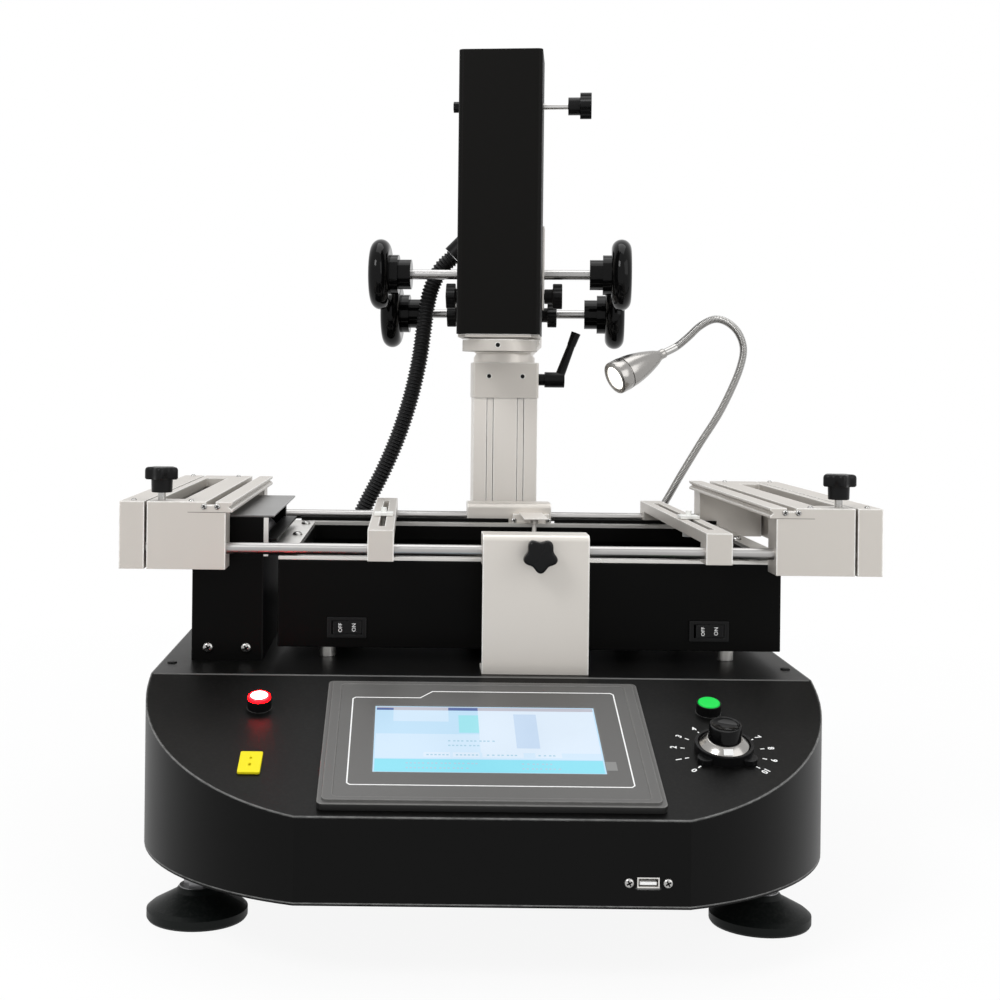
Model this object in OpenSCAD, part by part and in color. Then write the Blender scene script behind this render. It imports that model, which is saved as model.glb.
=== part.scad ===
// Bench rework station for soldered chips: a black housing with a touch panel,
// an infrared preheater, a sliding board table and a hot-air head on a column.
// X runs to the right, Y to the rear, Z up from the table top.

/* [Base housing] */
// Width of the housing
base_w = 496; // [486:1:510]
// Depth of the housing
base_d = 690; // [685:1:720]
// Height of the underside above the table
base_clear = 53; // [50:1:60]
// Height of the front skirt
skirt_h = 57; // [54:1:60]
// Height of the flat top above the underside
base_h = 115; // [113:1:117]
// Depth of the sloped control panel, seen from above
crease_y = 179; // [177:1:181]
// Radius of the two front corners
corner_r = 180; // [175:1:185]
// Thickness of the sheet metal
sheet = 2; // [1.5:0.5:2.5]

/* [Touch panel] */
// Width of the bezel
bezel_w = 226.5; // [215:0.5:230]
// Height of the bezel along the slope
bezel_l = 163; // [150:0.5:165]
// Height of the bezel above the slope
bezel_h = 6.5; // [5:0.5:8]
// Width of the visible screen
screen_w = 154; // [140:1:160]
// Height of the visible screen
screen_l = 86; // [80:1:90]

/* [Board table] */
// Diameter of the two guide rods
rod_d = 9; // [8:0.5:10]
// Height of the guide rods above the table
rod_z = 260; // [259:0.5:261]
// Distance between the two end beams, outside to outside
table_w = 581; // [575:1:600]
// Width of each clamp carriage
carriage_w = 65; // [60:1:66]

/* [Preheater] */
// Width of the preheater box
heater_w = 399; // [380:1:402]
// Depth of the preheater box
heater_d = 268; // [260:1:268]

/* [Column and head] */
// Width of the column
column_w = 65; // [60:1:67]
// Height of the top of the column above the table
column_top = 375; // [370:1:378]
// Width of the head cover
head_w = 80; // [78:1:82]
// Height of the head cover
head_h = 271.5; // [262:0.5:280]
// Forward travel of the arm
reach = 130; // [100:5:130]
// Diameter of the handwheels
wheel_d = 72; // [66:1:72]
// Angle by which the head is swung to the left
swivel = 6; // [0:0.5:10]

/* [Hidden] */
$fn = 64;

// Frame: the origin lies on the table top, in the middle of the whole machine
table_x = 14.5;
depth = 798;
origin = [-table_x, -depth / 2, 0];

// Base
top_z = base_clear + base_h;
slope_z = base_clear + skirt_h;
slope_angle = atan((top_z - slope_z) / crease_y);
corner_y = corner_r - 10;
rear_r = 30;
foot_x = [-206, 202];
foot_front_y = 138;
foot_rear_y = 590;
foot_pad_r = 36.5;
foot_pad_h = 23;

// Controls on the slope, as places across and up the slope
bezel_at = 88.5;
button_x = 162;
button_at = 139;
button_r = 8;
stem_r = 6;
collar_h = 7.5;
jack_x = -161;
jack_at = 62;
jack_size = [15.3, 26.4];
dial_x = 163;
dial_at = 84.3;
ring_r = 20;
ring_h = 7.1;
slip = 0.3;
usb_at = [100, 70];
inlet_at = [-150, 110];

// Board table
work_x = 41;
rod_r = rod_d / 2;
run = 0.05;
front_rod_y = 203;
rear_rod_y = 534;
beam_w = 19;
beam_gap = 2;
table_z0 = 244.5;
table_z1 = 296;
table_y0 = front_rod_y - 10;
table_y1 = rear_rod_y + 10;
block_l = 28;
plank_h = 8;
bar_w = 20;
left_bar_x = -77;
right_bar_x = 181;
bracket_w = 81;
bracket_top = 274;
bracket_t = 3;
bracket_front = front_rod_y - 16;
bracket_rear = rear_rod_y - 16;
knob_r = 13.2;

// Preheater
heater_x0 = work_x - 0.5 - heater_w / 2;
heater_x1 = heater_x0 + heater_w;
heater_y0 = 245;
heater_y1 = heater_y0 + heater_d;
heater_z0 = top_z + 10;
heater_z1 = 247;
rim_h = 3;
rim_in = 14;
switch_x = [-104, 183];
switch_z = 194;
fan_x0 = -226;
fan_x1 = -170;
fan_y0 = 238;
fan_y1 = 467;
fan_z1 = 281;
fan_axis = [-196, 246];
fan_shaft_r = 2.5;

// Column, turret and arm
column_y = 630;
column_dp = 60;
cap_top = 411;
pivot_r = 12;
disc_top = 420;
plate_top = 434;
cheek_in = 30;
cheek_out = 37;
cheek_y0 = 626;
cheek_y1 = 694;
cheek_top = 498;
tongue_z = [482, 490];
gear_m = 1.5;
gear_n = 16;
gear_r = gear_m * gear_n / 2;
gear_x0 = 14;
gear_x1 = 24;
backlash = 0.3;
lower_shaft = [662, 463];
lower_shaft_r = 4.5;
upper_shaft = [598, 500];
upper_shaft_r = 5;
lock_r = 3;
y_lock_at = [638, 461];
z_lock_at = [598, 478];
arm_z0 = lower_shaft[1] + gear_r + 1.25 * gear_m;
arm_z1 = 496;
arm_rear = column_y + (depth - column_y - (cheek_in + 5 - slip) * sin(swivel)) / cos(swivel);
upright_y0 = 584;
upright_y1 = 615;
upright_z = [465, 548];
upright_in = 35;
upright_out = 41;

// Head
head_z0 = 436.5;
plate_z0 = head_z0 - 3;
head_y0 = 495;
head_y1 = 571;
head_axis_y = 533;
plate_y1 = 577;
rail_w = 15;
rail_y1 = 585;
rack_y = upper_shaft[0] - gear_r;
cover_rod_z = 659;
nozzle_r = 25;
lower_nozzle_y = head_axis_y - reach;

// Manifold on the turret, where the hose ends
manifold_y0 = 622;
manifold_z1 = 566;
hose_r = 9;
hose_y = 632;
spigot_r = 12;
spigot_at = [work_x - 54, hose_y, 521];
hose_route = [
    [-123, hose_y, 186], [-123, hose_y, 200], [-115, hose_y, 230], [-101, hose_y, 262],
    [-83, hose_y, 298], [-68, hose_y, 334], [-56, hose_y, 372], [-47.5, hose_y, 410],
    [-43, 634, 442], [-40, 636, 466], [-35, 638, 488],
    turned(spigot_at - [13, 0, 13]), turned(spigot_at - [0.2, 0, 0.2])
];

// Work lamp
neck_r = 3.8;
lamp_base = [160, 560, 168];
neck_route = [
    [160, 560, 186], [160, 560, 202], [168, 560, 226], [182, 560, 250], [197, 560, 272],
    [213, 560, 300], [232, 560, 332], [249.5, 560, 360], [262, 560, 385], [271, 560, 408],
    [274, 560, 427], [268, 559, 443], [256, 557, 453], [243, 554, 455], [229, 551, 448],
    [217, 548, 437], [205, 544, 427.5], [192, 538, 421]
];
lamp_dir = neck_route[17] - neck_route[16];

// A block between two corners
module box(x, y, z) {
    translate([x[0], y[0], z[0]]) cube([x[1] - x[0], y[1] - y[0], z[1] - z[0]]);
}

// Round bars along one axis
module bar_x(x, y, z, r) {
    translate([x[0], y, z]) rotate([0, 90, 0]) cylinder(h = x[1] - x[0], r = r);
}
module bar_y(x, y, z, r) {
    translate([x, y[0], z]) rotate([-90, 0, 0]) cylinder(h = y[1] - y[0], r = r);
}
module bar_z(x, y, z, r) {
    translate([x, y, z[0]]) cylinder(h = z[1] - z[0], r = r);
}

// A rectangle with round corners, centred
module rounded_rect(w, l, r) {
    square([w, l - 2 * r], center = true);
    square([w - 2 * r, l], center = true);
    for (sx = [-1, 1], sy = [-1, 1])
        translate([sx * (w / 2 - r), sy * (l / 2 - r)]) circle(r);
}

// Places children on the sloped panel, Z along its normal
module on_slope(x, up) {
    translate([x, up * cos(slope_angle), slope_z + up * sin(slope_angle)])
        rotate([slope_angle, 0, 0]) children();
}

// Swings the turret and all it carries about the column
module swivelled() {
    translate([work_x, column_y, 0]) rotate(-swivel)
        translate([-work_x, -column_y, 0]) children();
}
function turned(p) =
    let (x = p[0] - work_x, y = p[1] - column_y)
    [
        work_x + x * cos(swivel) + y * sin(swivel),
        column_y - x * sin(swivel) + y * cos(swivel),
        p[2]
    ];

// Places children at a point, their Z along a direction
module along(at, dir) {
    translate(at) rotate([0, acos(dir[2] / norm(dir)), atan2(dir[1], dir[0])]) children();
}

// A round tube along a route, one ring at each of its points
function unit(v) = v / norm(v);
function heading(p, i) = unit(p[min(i + 1, len(p) - 1)] - p[max(i - 1, 0)]);
function ring(p, i, r, sides) =
    let (t = heading(p, i), n = unit(cross(t, [0, 1, 0])), b = cross(t, n))
    [for (k = [0:sides - 1]) p[i] + r * (cos(k * 360 / sides) * n + sin(k * 360 / sides) * b)];
module swept_tube(p, r, sides = 12) {
    last = len(p) - 1;
    points = [for (i = [0:last]) each ring(p, i, r, sides)];
    skin = [
        for (i = [0:last - 1], k = [0:sides - 1])
            let (j = (k + 1) % sides)
            [i * sides + k, (i + 1) * sides + k, (i + 1) * sides + j, i * sides + j]
    ];
    near = [for (k = [0:sides - 1]) k];
    far = [for (k = [sides - 1:-1:0]) last * sides + k];
    polyhedron(points, concat([near], skin, [far]));
}

// Five-lobed clamp knob, seated at Z 0 with its stud pointing down
module star_outline(r) {
    circle(0.86 * r);
    for (i = [0:4])
        rotate(54 + i * 72) translate([0.62 * r, 0]) circle(0.38 * r);
}
module star_knob(r, hub_r, hub_h, star_h, stud_r, stud_l) {
    cylinder(h = hub_h, r = hub_r);
    translate([0, 0, hub_h]) linear_extrude(star_h) star_outline(r);
    translate([0, 0, -stud_l]) cylinder(h = stud_l, r = stud_r);
}

// Handwheel with a stepped hub, a dished web and a round rim; its bore opens at Z 0
wheel_hub = 13;
wheel_step = 8.5;
wheel_rim = 20;
wheel_l = wheel_hub + wheel_step + wheel_rim;
wheel_bore = 30;
module handwheel(bore_r) {
    rim_mid = wheel_l - wheel_rim / 2;
    rim_c = wheel_rim / 2;
    difference() {
        union() {
            cylinder(h = wheel_hub + 1, r = 15.2);
            translate([0, 0, wheel_hub]) cylinder(h = wheel_step + 2, r = 20);
            translate([0, 0, wheel_hub + wheel_step]) cylinder(h = 8, r = wheel_d / 2 - 10);
            cylinder(h = wheel_l - 4, r = 11);
            translate([0, 0, rim_mid]) rotate_extrude($fn = 96) {
                translate([wheel_d / 2 - rim_c, 0]) circle(rim_c);
                translate([wheel_d / 2 - rim_c - 4, -rim_c]) square([4, wheel_rim]);
            }
        }
        translate([0, 0, -1]) cylinder(h = wheel_bore + 1, r = bore_r);
        for (i = [0:2])
            rotate(60 + i * 120) translate([17, 0, wheel_hub + wheel_step + 4])
                cylinder(h = wheel_l, r = 4);
    }
}

// Involute tooth of the pinions: half the tooth's thickness at a radius
function inv(a) = tan(a) - a * PI / 180;
function half_tooth(r) =
    let (base_r = gear_r * cos(20), a = acos(min(1, base_r / r)))
    r / 2 * ((PI * gear_m / 2 - backlash) / gear_r + 2 * (inv(20) - inv(a)));
module pinion(h) {
    root = gear_r - 1.25 * gear_m;
    tip = gear_r + gear_m;
    levels = [for (i = [0:4]) gear_r * cos(20) + (tip - gear_r * cos(20)) * i / 4];
    linear_extrude(h) {
        circle(root);
        for (i = [0:gear_n - 1])
            rotate(i * 360 / gear_n)
                polygon(concat(
                    [[root - 1, half_tooth(levels[0])]],
                    [for (r = levels) [r, half_tooth(r)]],
                    [for (k = [4:-1:0]) [levels[k], -half_tooth(levels[k])]],
                    [[root - 1, -half_tooth(levels[0])]]
                ));
    }
}

// Straight rack teeth along X, pitch line at Y 0, tips towards +Y, a gap at X 0
module rack_teeth(first, last, h) {
    pitch = PI * gear_m;
    half = (pitch / 2 - backlash) / 2;
    lean = tan(20);
    linear_extrude(h)
        for (i = [first:last])
            translate([(i + 0.5) * pitch, 0])
                polygon([
                    [-half - 1.4 * gear_m * lean, -1.4 * gear_m], [-half + gear_m * lean, gear_m],
                    [half - gear_m * lean, gear_m], [half + 1.4 * gear_m * lean, -1.4 * gear_m]
                ]);
}

// Outline of the base from above, drawn in by a margin
module base_outline(inset) {
    intersection() {
        union() {
            for (s = [-1, 1])
                translate([s * (base_w / 2 - corner_r), corner_y]) circle(corner_r - inset, $fn = 128);
            translate([-base_w / 2 + corner_r, 0])
                square([base_w - 2 * corner_r, corner_y + corner_r]);
            translate([-base_w / 2 + inset, corner_y])
                square([base_w - 2 * inset, base_d - corner_y - rear_r]);
            for (s = [-1, 1])
                translate([s * (base_w / 2 - rear_r), base_d - rear_r]) circle(rear_r - inset);
            translate([-base_w / 2 + rear_r, base_d / 2])
                square([base_w - 2 * rear_r, base_d / 2 - inset]);
        }
        translate([-base_w / 2, inset]) square([base_w, base_d - 2 * inset]);
    }
}

// The base as a solid: its outline cut by its sloped side view
module base_block(inset, floor_z) {
    rise = tan(slope_angle);
    drop = inset / cos(slope_angle);
    intersection() {
        translate([0, 0, floor_z]) linear_extrude(base_h + 10) base_outline(inset);
        translate([-base_w, 0, 0]) rotate([90, 0, 90]) linear_extrude(2 * base_w) polygon([
            [0, floor_z], [0, slope_z - drop],
            [crease_y + (drop - inset) / rise, top_z - inset],
            [base_d, top_z - inset], [base_d, floor_z]
        ]);
    }
}

// Cut-outs of the control panel, the skirt and the rear wall
module panel_cuts() {
    on_slope(0, bezel_at) cube([bezel_w - 30, bezel_l - 26, 20], center = true);
    for (s = [-1, 1])
        on_slope(s * button_x, button_at) translate([0, 0, -10]) cylinder(h = 20, r = button_r + 0.2);
    on_slope(jack_x, jack_at) cube([jack_size[0] - 3, jack_size[1] - 3, 20], center = true);
    on_slope(dial_x, dial_at) translate([0, 0, -10]) cylinder(h = 20, r = 6.2);
    translate([usb_at[0], 0, usb_at[1]]) cube([14.5, 20, 7], center = true);
    translate([inlet_at[0], base_d, inlet_at[1]]) cube([48, 20, 28], center = true);
    bar_z(hose_route[0][0], hose_y, [top_z - 10, top_z + 10], hose_r);
    for (i = [0:9])
        translate([40 + i * 14, base_d, 110]) cube([5, 20, 50], center = true);
}
module base_shell() {
    color("#1b1b1d") difference() {
        base_block(0, base_clear + sheet);
        base_block(sheet, base_clear);
        panel_cuts();
    }
}

module base_pan() {
    color("#202022") difference() {
        translate([0, 0, base_clear]) linear_extrude(sheet) base_outline(0);
        for (i = [0:9], s = [-1, 1])
            translate([s * 110 - 63 + i * 14, 400, base_clear]) cube([5, 90, 20], center = true);
    }
}

// Mains socket and main switch on the rear wall
module power_inlet() {
    color("#232326") translate([inlet_at[0], base_d, inlet_at[1]]) difference() {
        union() {
            translate([-24, -30, -14]) cube([48, 30, 28]);
            translate([-31, 0, -18]) cube([62, 3, 36]);
        }
        translate([-20, -14, -9]) cube([24, 20, 18]);
        translate([9, -4, -9]) cube([11, 10, 18]);
    }
}

module each_foot() {
    for (x = foot_x, y = [foot_front_y, foot_rear_y])
        translate([x, y, 0]) children();
}
module levelling_feet() {
    color("#18191a") each_foot() {
        rotate_extrude() polygon([
            [0, 0], [foot_pad_r - 1, 0], [foot_pad_r, 1.5], [foot_pad_r, 7], [foot_pad_r - 3, 9.5],
            [16, foot_pad_h - 4], [13, foot_pad_h], [0, foot_pad_h]
        ]);
        translate([0, 0, foot_pad_h - 1]) cylinder(h = base_clear - foot_pad_h + 1, r = 6);
        translate([0, 0, base_clear - 9]) cylinder(h = 9, r = 11, $fn = 6);
        translate([0, 0, foot_pad_h - 1]) cylinder(h = 8, r = 10, $fn = 6);
    }
}

// Touch panel: frame with a stepped opening, and its case behind the slope
label_drop = 0.5;
screen_z = bezel_h - 2.2;
module panel_bezel() {
    color("#2c2d30") on_slope(0, bezel_at) difference() {
        union() {
            linear_extrude(bezel_h - 1.5) rounded_rect(bezel_w, bezel_l, 4);
            translate([0, 0, bezel_h - 1.5]) linear_extrude(1.5)
                rounded_rect(bezel_w - 6, bezel_l - 6, 4);
            translate([0, 0, -32]) linear_extrude(32)
                square([bezel_w - 32, bezel_l - 28], center = true);
        }
        translate([0, 0, bezel_h - label_drop]) linear_extrude(10)
            rounded_rect(bezel_w - 20, bezel_l - 14, 3);
        translate([0, 0, screen_z]) linear_extrude(10)
            square([screen_w + 2, screen_l + 2], center = true);
    }
}
module panel_screen() {
    color("#a9d6ea") on_slope(0, bezel_at) translate([0, 0, screen_z])
        linear_extrude(1.2) square([screen_w + 2, screen_l + 2], center = true);
}

// Push buttons: a tall collar on a threaded body, and the lens that sinks into it
module button_bodies() {
    color("#1f1f21")
        for (s = [-1, 1])
            on_slope(s * button_x, button_at) difference() {
                union() {
                    translate([0, 0, -22]) cylinder(h = 22, r = button_r);
                    cylinder(h = collar_h, r = button_r + 0.9);
                }
                translate([0, 0, 1]) cylinder(h = collar_h, r = button_r + slip);
                translate([0, 0, -12]) cylinder(h = 20, r = stem_r + slip);
            }
}
module button_cap() {
    translate([0, 0, -6]) cylinder(h = 11, r = stem_r);
    translate([0, 0, 4.2]) cylinder(h = collar_h - 4.2, r = button_r);
    translate([0, 0, collar_h]) cylinder(h = 0.8, r1 = button_r, r2 = button_r - 0.8);
}
module red_button() { color("#e0202a") on_slope(-button_x, button_at) button_cap(); }
module green_button() { color("#22b04a") on_slope(button_x, button_at) button_cap(); }

// Flat two-blade thermocouple socket: a thin flange, a deep body, two unequal slots
module thermocouple_jack() {
    color("#f2c511") on_slope(jack_x, jack_at) difference() {
        union() {
            translate([0, 0, -14]) linear_extrude(14)
                square([jack_size[0] - 3.6, jack_size[1] - 3.6], center = true);
            linear_extrude(2) rounded_rect(jack_size[0], jack_size[1], 1.2);
        }
        translate([-0.8, 3.7, -8]) cube([1.6, 2.4, 20]);
        translate([-0.8, -4.8, -8]) cube([1.6, 3.2, 20]);
    }
}

// Air-flow control: a fixed cup with two ears, and the knob with its bright cone
module airflow_dial() {
    color("#1d1d1f") on_slope(dial_x, dial_at) difference() {
        union() {
            cylinder(h = ring_h, r = ring_r);
            for (a = [222, 318])
                rotate(a) translate([ring_r, 0, 0]) cylinder(h = 4, r = 5.5);
            translate([0, 0, -14]) cylinder(h = 14, r = 6);
        }
        translate([0, 0, 3]) cylinder(h = ring_h, r = ring_r - 2);
        translate([0, 0, -20]) cylinder(h = 40, r = 3 + run);
    }
}
module airflow_knob() {
    cone_r = ring_r - 2.4;
    cone_h = 10.7;
    cap_r = 11.2;
    cap_h = 21.5;
    color("#c8c9cc") on_slope(dial_x, dial_at) difference() {
        union() {
            translate([0, 0, -12]) cylinder(h = 18, r = 3);
            translate([0, 0, 4]) cylinder(h = 2.5, r = cone_r);
            translate([0, 0, 6.5]) cylinder(h = cone_h - 6.5, r1 = cone_r, r2 = cap_r + 1);
            translate([0, 0, cone_h]) cylinder(h = cap_h - cone_h, r = cap_r);
        }
        translate([0, 0, cap_h - 1.3]) cylinder(h = 1.4, r1 = cap_r - 3.4, r2 = cap_r - 1.8);
    }
}

module usb_port() {
    color("#b9babd") translate([usb_at[0], 0, usb_at[1]]) difference() {
        union() {
            translate([-7.25, 0, -3.5]) cube([14.5, 16, 7]);
            translate([-16, sheet, -6]) cube([32, 2, 12]);
        }
        translate([-6.3, -1, -2.55]) cube([12.6, 13, 5.1]);
    }
}

// Inside the base: power supply, control board with relays, and air pump
module electronics() {
    floor_z = base_clear + sheet;
    color("#8f9a8c") {
        box([-200, -100], [290, 490], [floor_z, floor_z + 42]);
        box([-60, 60], [250, 400], [floor_z + 8, floor_z + 10]);
        for (x = [-52, 52], y = [258, 392])
            bar_z(x, y, [floor_z, floor_z + 8], 3);
        for (i = [0:4])
            box([-50 + i * 20, -34 + i * 20], [340, 370], [floor_z + 10, floor_z + 26]);
        box([100, 200], [280, 430], [floor_z, floor_z + 6]);
        bar_y(150, [290, 420], floor_z + 51, 45);
    }
}

// Preheater box, open at the top, with cut-outs for its two switches
module heater_tray() {
    color("#19191b") difference() {
        box([heater_x0, heater_x1], [heater_y0, heater_y1], [heater_z0, heater_z1]);
        box([heater_x0 + sheet, heater_x1 - sheet], [heater_y0 + sheet, heater_y1 - sheet],
            [heater_z0 + sheet, heater_z1 + 1]);
        for (x = switch_x)
            translate([x, heater_y0, switch_z]) cube([27, 12, 12.5], center = true);
    }
}
module heater_rim() {
    color("#d6d4cf") difference() {
        box([heater_x0, heater_x1], [heater_y0, heater_y1], [heater_z1, heater_z1 + rim_h]);
        box([heater_x0 + rim_in, heater_x1 - rim_in], [heater_y0 + rim_in, heater_y1 - rim_in],
            [heater_z1 - 1, heater_z1 + rim_h + 1]);
    }
}
module heater_standoffs() {
    color("#b8b8b6")
        for (x = [-120, 200], y = [265, 493])
            bar_z(x, y, [top_z, heater_z0], 6.5);
}

// Ceramic infrared tiles with a dished face, on feet, in a left and a right zone
module ir_tiles() {
    tile = [68, 112, 14];
    color("#3b3733")
        for (x = [-107, -32, 112, 187], y = [319, 439])
            translate([x, y, heater_z0 + sheet]) difference() {
                union() {
                    translate([-tile[0] / 2, -tile[1] / 2, 36]) cube(tile);
                    translate([-12, -30, 0]) cube([24, 60, 36]);
                }
                translate([0, -tile[1], 36 + tile[2] + 100]) rotate([-90, 0, 0])
                    cylinder(h = 2 * tile[1], r = 104, $fn = 128);
            }
}

// Hot-air outlet in the middle of the preheater
module lower_nozzle() {
    floor_z = heater_z0 + sheet;
    color("#a7a6a2") translate([work_x, lower_nozzle_y, floor_z]) difference() {
        union() {
            cylinder(h = 54, r = 28);
            translate([0, 0, 54]) cylinder(h = 8, r1 = 28, r2 = 24);
        }
        translate([0, 0, 3]) cylinder(h = 51, r = 25);
        translate([0, 0, 50]) linear_extrude(20) rounded_rect(32, 32, 2);
    }
}

// Rocker switches on the preheater's front: body with a pocket, and the rocker in it
rocker_tilt = 8;
module switch_bodies() {
    color("#141416")
        for (x = switch_x)
            translate([x, heater_y0, switch_z]) difference() {
                union() {
                    translate([-13.5, 0, -6.25]) cube([27, 18, 12.5]);
                    translate([-15.5, -2, -8]) cube([31, 2, 16]);
                }
                translate([-12.2, -3, -5.4]) cube([24.4, 10.5, 10.8]);
            }
}
module rocker(x) {
    color("#1c1c1e") translate([x, heater_y0 + 1, switch_z]) rotate(rocker_tilt) {
        translate([0, 0, -5]) linear_extrude(10) polygon([
            [-11.3, -4], [0, -2.4], [11.3, -4], [11, 0.5], [4, 4], [-4, 4], [-11, 0.5]
        ]);
        bar_z(0, 0, [-5.3, 5.3], 1.5);
    }
}
module left_rocker() { rocker(switch_x[0]); }
module right_rocker() { rocker(switch_x[1]); }

// Cross-flow fan beside the preheater: tall box, its outlet to the right with a vane
module fan_housing() {
    color("#1a1a1c") box([fan_x1 - 2, fan_x1 + 10], [fan_y0 + 4, fan_y1 - 4], [262, 264]);
    color("#1a1a1c") difference() {
        union() {
            difference() {
                box([fan_x0, fan_x1], [fan_y0, fan_y1], [top_z, fan_z1]);
                box([fan_x0 + sheet, fan_x1 - sheet], [fan_y0 + sheet, fan_y1 - sheet],
                    [top_z + sheet, fan_z1 + 1]);
            }
            bar_y(fan_axis[0], [fan_y0 + 1, fan_y0 + 9], fan_axis[1], 7);
            bar_y(fan_axis[0], [fan_y1 - 9, fan_y1 - 1], fan_axis[1], 7);
        }
        bar_y(fan_axis[0], [fan_y0 + sheet, fan_y1 - sheet], fan_axis[1], fan_shaft_r + run);
        box([fan_x1 - 10, fan_x1 + 10], [fan_y0 + 10, fan_y1 - 10], [252, fan_z1 - 4]);
        for (i = [0:11])
            translate([fan_x0, fan_y0 + 26 + i * 16, 215]) cube([20, 6, 56], center = true);
    }
}
module fan_lid() {
    color("#55575b") {
        box([fan_x0, fan_x1 + 8], [fan_y0, fan_y1], [fan_z1, fan_z1 + 1.6]);
        box([fan_x1, fan_x1 + 3], [fan_y0, fan_y0 + 3], [250, fan_z1]);
    }
}
module fan_impeller() {
    drum_r = 21;
    y0 = fan_y0 + 14;
    y1 = fan_y1 - 14;
    color("#6a6c70") translate([fan_axis[0], y0, fan_axis[1]]) rotate([-90, 0, 0]) {
        for (z = [0, (y1 - y0) / 2 - 1, y1 - y0 - 2])
            translate([0, 0, z]) cylinder(h = 2, r = drum_r);
        translate([0, 0, -11]) cylinder(h = y1 - y0 + 22, r = fan_shaft_r);
        for (i = [0:17])
            rotate(i * 20) translate([drum_r - 6, 0, 1]) linear_extrude(y1 - y0 - 2)
                intersection() {
                    difference() {
                        translate([0, 4]) circle(5, $fn = 32);
                        translate([0, 4]) circle(4.2, $fn = 32);
                    }
                    square([6, 8]);
                }
    }
}

// Bent plate with a rounded top edge, a foot and a bored block for a guide rod
module rod_bracket(y0) {
    bend_r = 5;
    rod_y = y0 + 16;
    x0 = work_x - bracket_w / 2;
    difference() {
        translate([x0, 0, 0]) rotate([90, 0, 90]) linear_extrude(bracket_w) {
            translate([y0, top_z]) square([bracket_t, bracket_top - top_z - bend_r]);
            translate([y0, top_z]) square([34, bracket_t]);
            translate([y0 + bend_r, bracket_top - bracket_t]) square([28 - bend_r, bracket_t]);
            intersection() {
                translate([y0 + bend_r, bracket_top - bend_r]) circle(bend_r);
                translate([y0, bracket_top - bend_r]) square(bend_r);
            }
            translate([y0 + bracket_t, rod_z - 10]) square([25, bracket_top - bracket_t - rod_z + 10]);
        }
        bar_x([x0 - 1, x0 + bracket_w + 1], rod_y, rod_z, rod_r + run);
    }
}
module rod_brackets() {
    color("#c9c6bf") {
        difference() {
            rod_bracket(bracket_front);
            bar_y(work_x + 2, [bracket_front - 1, front_rod_y], rod_z, lock_r + run);
        }
        rod_bracket(bracket_rear);
    }
}

// Board support that reaches forward from the rear bracket, with its screw
module support_arm() {
    x = work_x + 20;
    color("#cfccc6") {
        box([x - 17, x + 18], [bracket_rear - 8, bracket_rear], [252, 264]);
        box([x - 11, x + 11], [bracket_rear - 74, bracket_rear], [264, 265.5]);
        bar_z(x - 1, bracket_rear - 66, [251, 264], 2);
        bar_z(x - 1, bracket_rear - 66, [260, 264], 3.5);
    }
}

// Slotted aluminium column
module column_slot() {
    translate([0, 5]) square([7, 10.2], center = true);
    translate([0, 8]) square([14, 5], center = true);
}
module column() {
    slot_x = 15.5;
    color("#cdcbc5") translate([work_x, column_y, top_z])
        linear_extrude(column_top - top_z) difference() {
            square([column_w, column_dp], center = true);
            for (x = [-slot_x, slot_x], a = [0, 180])
                rotate(a) translate([x, -column_dp / 2]) column_slot();
            for (a = [90, 270])
                rotate(a) translate([0, -column_w / 2]) column_slot();
            for (x = [-slot_x, slot_x])
                translate([x, 0]) circle(4);
        }
}
cap_w = column_w + 2;
cap_d = column_dp + 4;
lever_z = 394;
module column_cap() {
    color("#c9c6bf") difference() {
        translate([work_x, column_y, column_top]) linear_extrude(cap_top - column_top)
            rounded_rect(cap_w, cap_d, 2.5);
        bar_z(work_x, column_y, [385, cap_top + 1], pivot_r + run);
        bar_x([work_x + 5, work_x + cap_w], column_y, lever_z, 4 + run);
        for (x = [-17, 17])
            bar_y(work_x + x, [column_y - cap_d, column_y - cap_d / 2 + 8], 397, 1.9);
    }
}

// Clamp lever: hub on a stud, and a tapered handle that leans outwards
module clamp_lever() {
    x0 = work_x + cap_w / 2 + 0.6;
    color("#151517") {
        bar_x([work_x + pivot_r + 1, x0 + 10], column_y, lever_z, 4);
        bar_x([x0, x0 + 9], column_y, lever_z, 6);
        bar_x([x0 + 8, x0 + 28], column_y, lever_z, 8);
        along([x0 + 22, column_y, lever_z], [17, 0, 46]) {
            cylinder(h = 40, r1 = 5, r2 = 4);
            translate([0, 0, 38]) cylinder(h = 14, r1 = 4.4, r2 = 5);
        }
    }
}

module hose() { color("#1a1a1b") swept_tube(hose_route, hose_r, 12); }
module hose_gland() {
    at = hose_route[0];
    color("#1f1f20") translate([at[0], at[1], top_z]) difference() {
        union() {
            cylinder(h = 8, r = 17, $fn = 6);
            cylinder(h = at[2] - top_z, r = 13);
        }
        translate([0, 0, -1]) cylinder(h = 8, r = 7);
    }
}

// Work lamp: socket and flexible neck, conical head, lens
module lamp_neck() {
    color("#c3c3c1") {
        translate(lamp_base) rotate_extrude() polygon([
            [0, 0], [14, 0], [14, 6], [9, 12], [9, 18], [0, 18]
        ]);
        swept_tube(neck_route, neck_r, 10);
    }
}
lamp_l = 62;
module lamp_head() {
    color("#c7c5bf") along(neck_route[17], lamp_dir) rotate_extrude() polygon([
        [0, 0], [4.8, 0], [5, 6], [7.6, 12], [11, 22], [13.6, 32], [15.3, 42],
        [15.8, lamp_l - 13], [15.2, lamp_l - 13], [15.2, lamp_l - 12], [16.2, lamp_l - 12],
        [16.2, lamp_l - 1], [15.4, lamp_l], [13, lamp_l], [13, lamp_l - 4], [0, lamp_l - 4]
    ]);
}
module lamp_lens() {
    color("#fbf7ea") along(neck_route[17], lamp_dir)
        translate([0, 0, lamp_l - 4]) cylinder(h = 2.5, r = 12.8);
}

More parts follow.
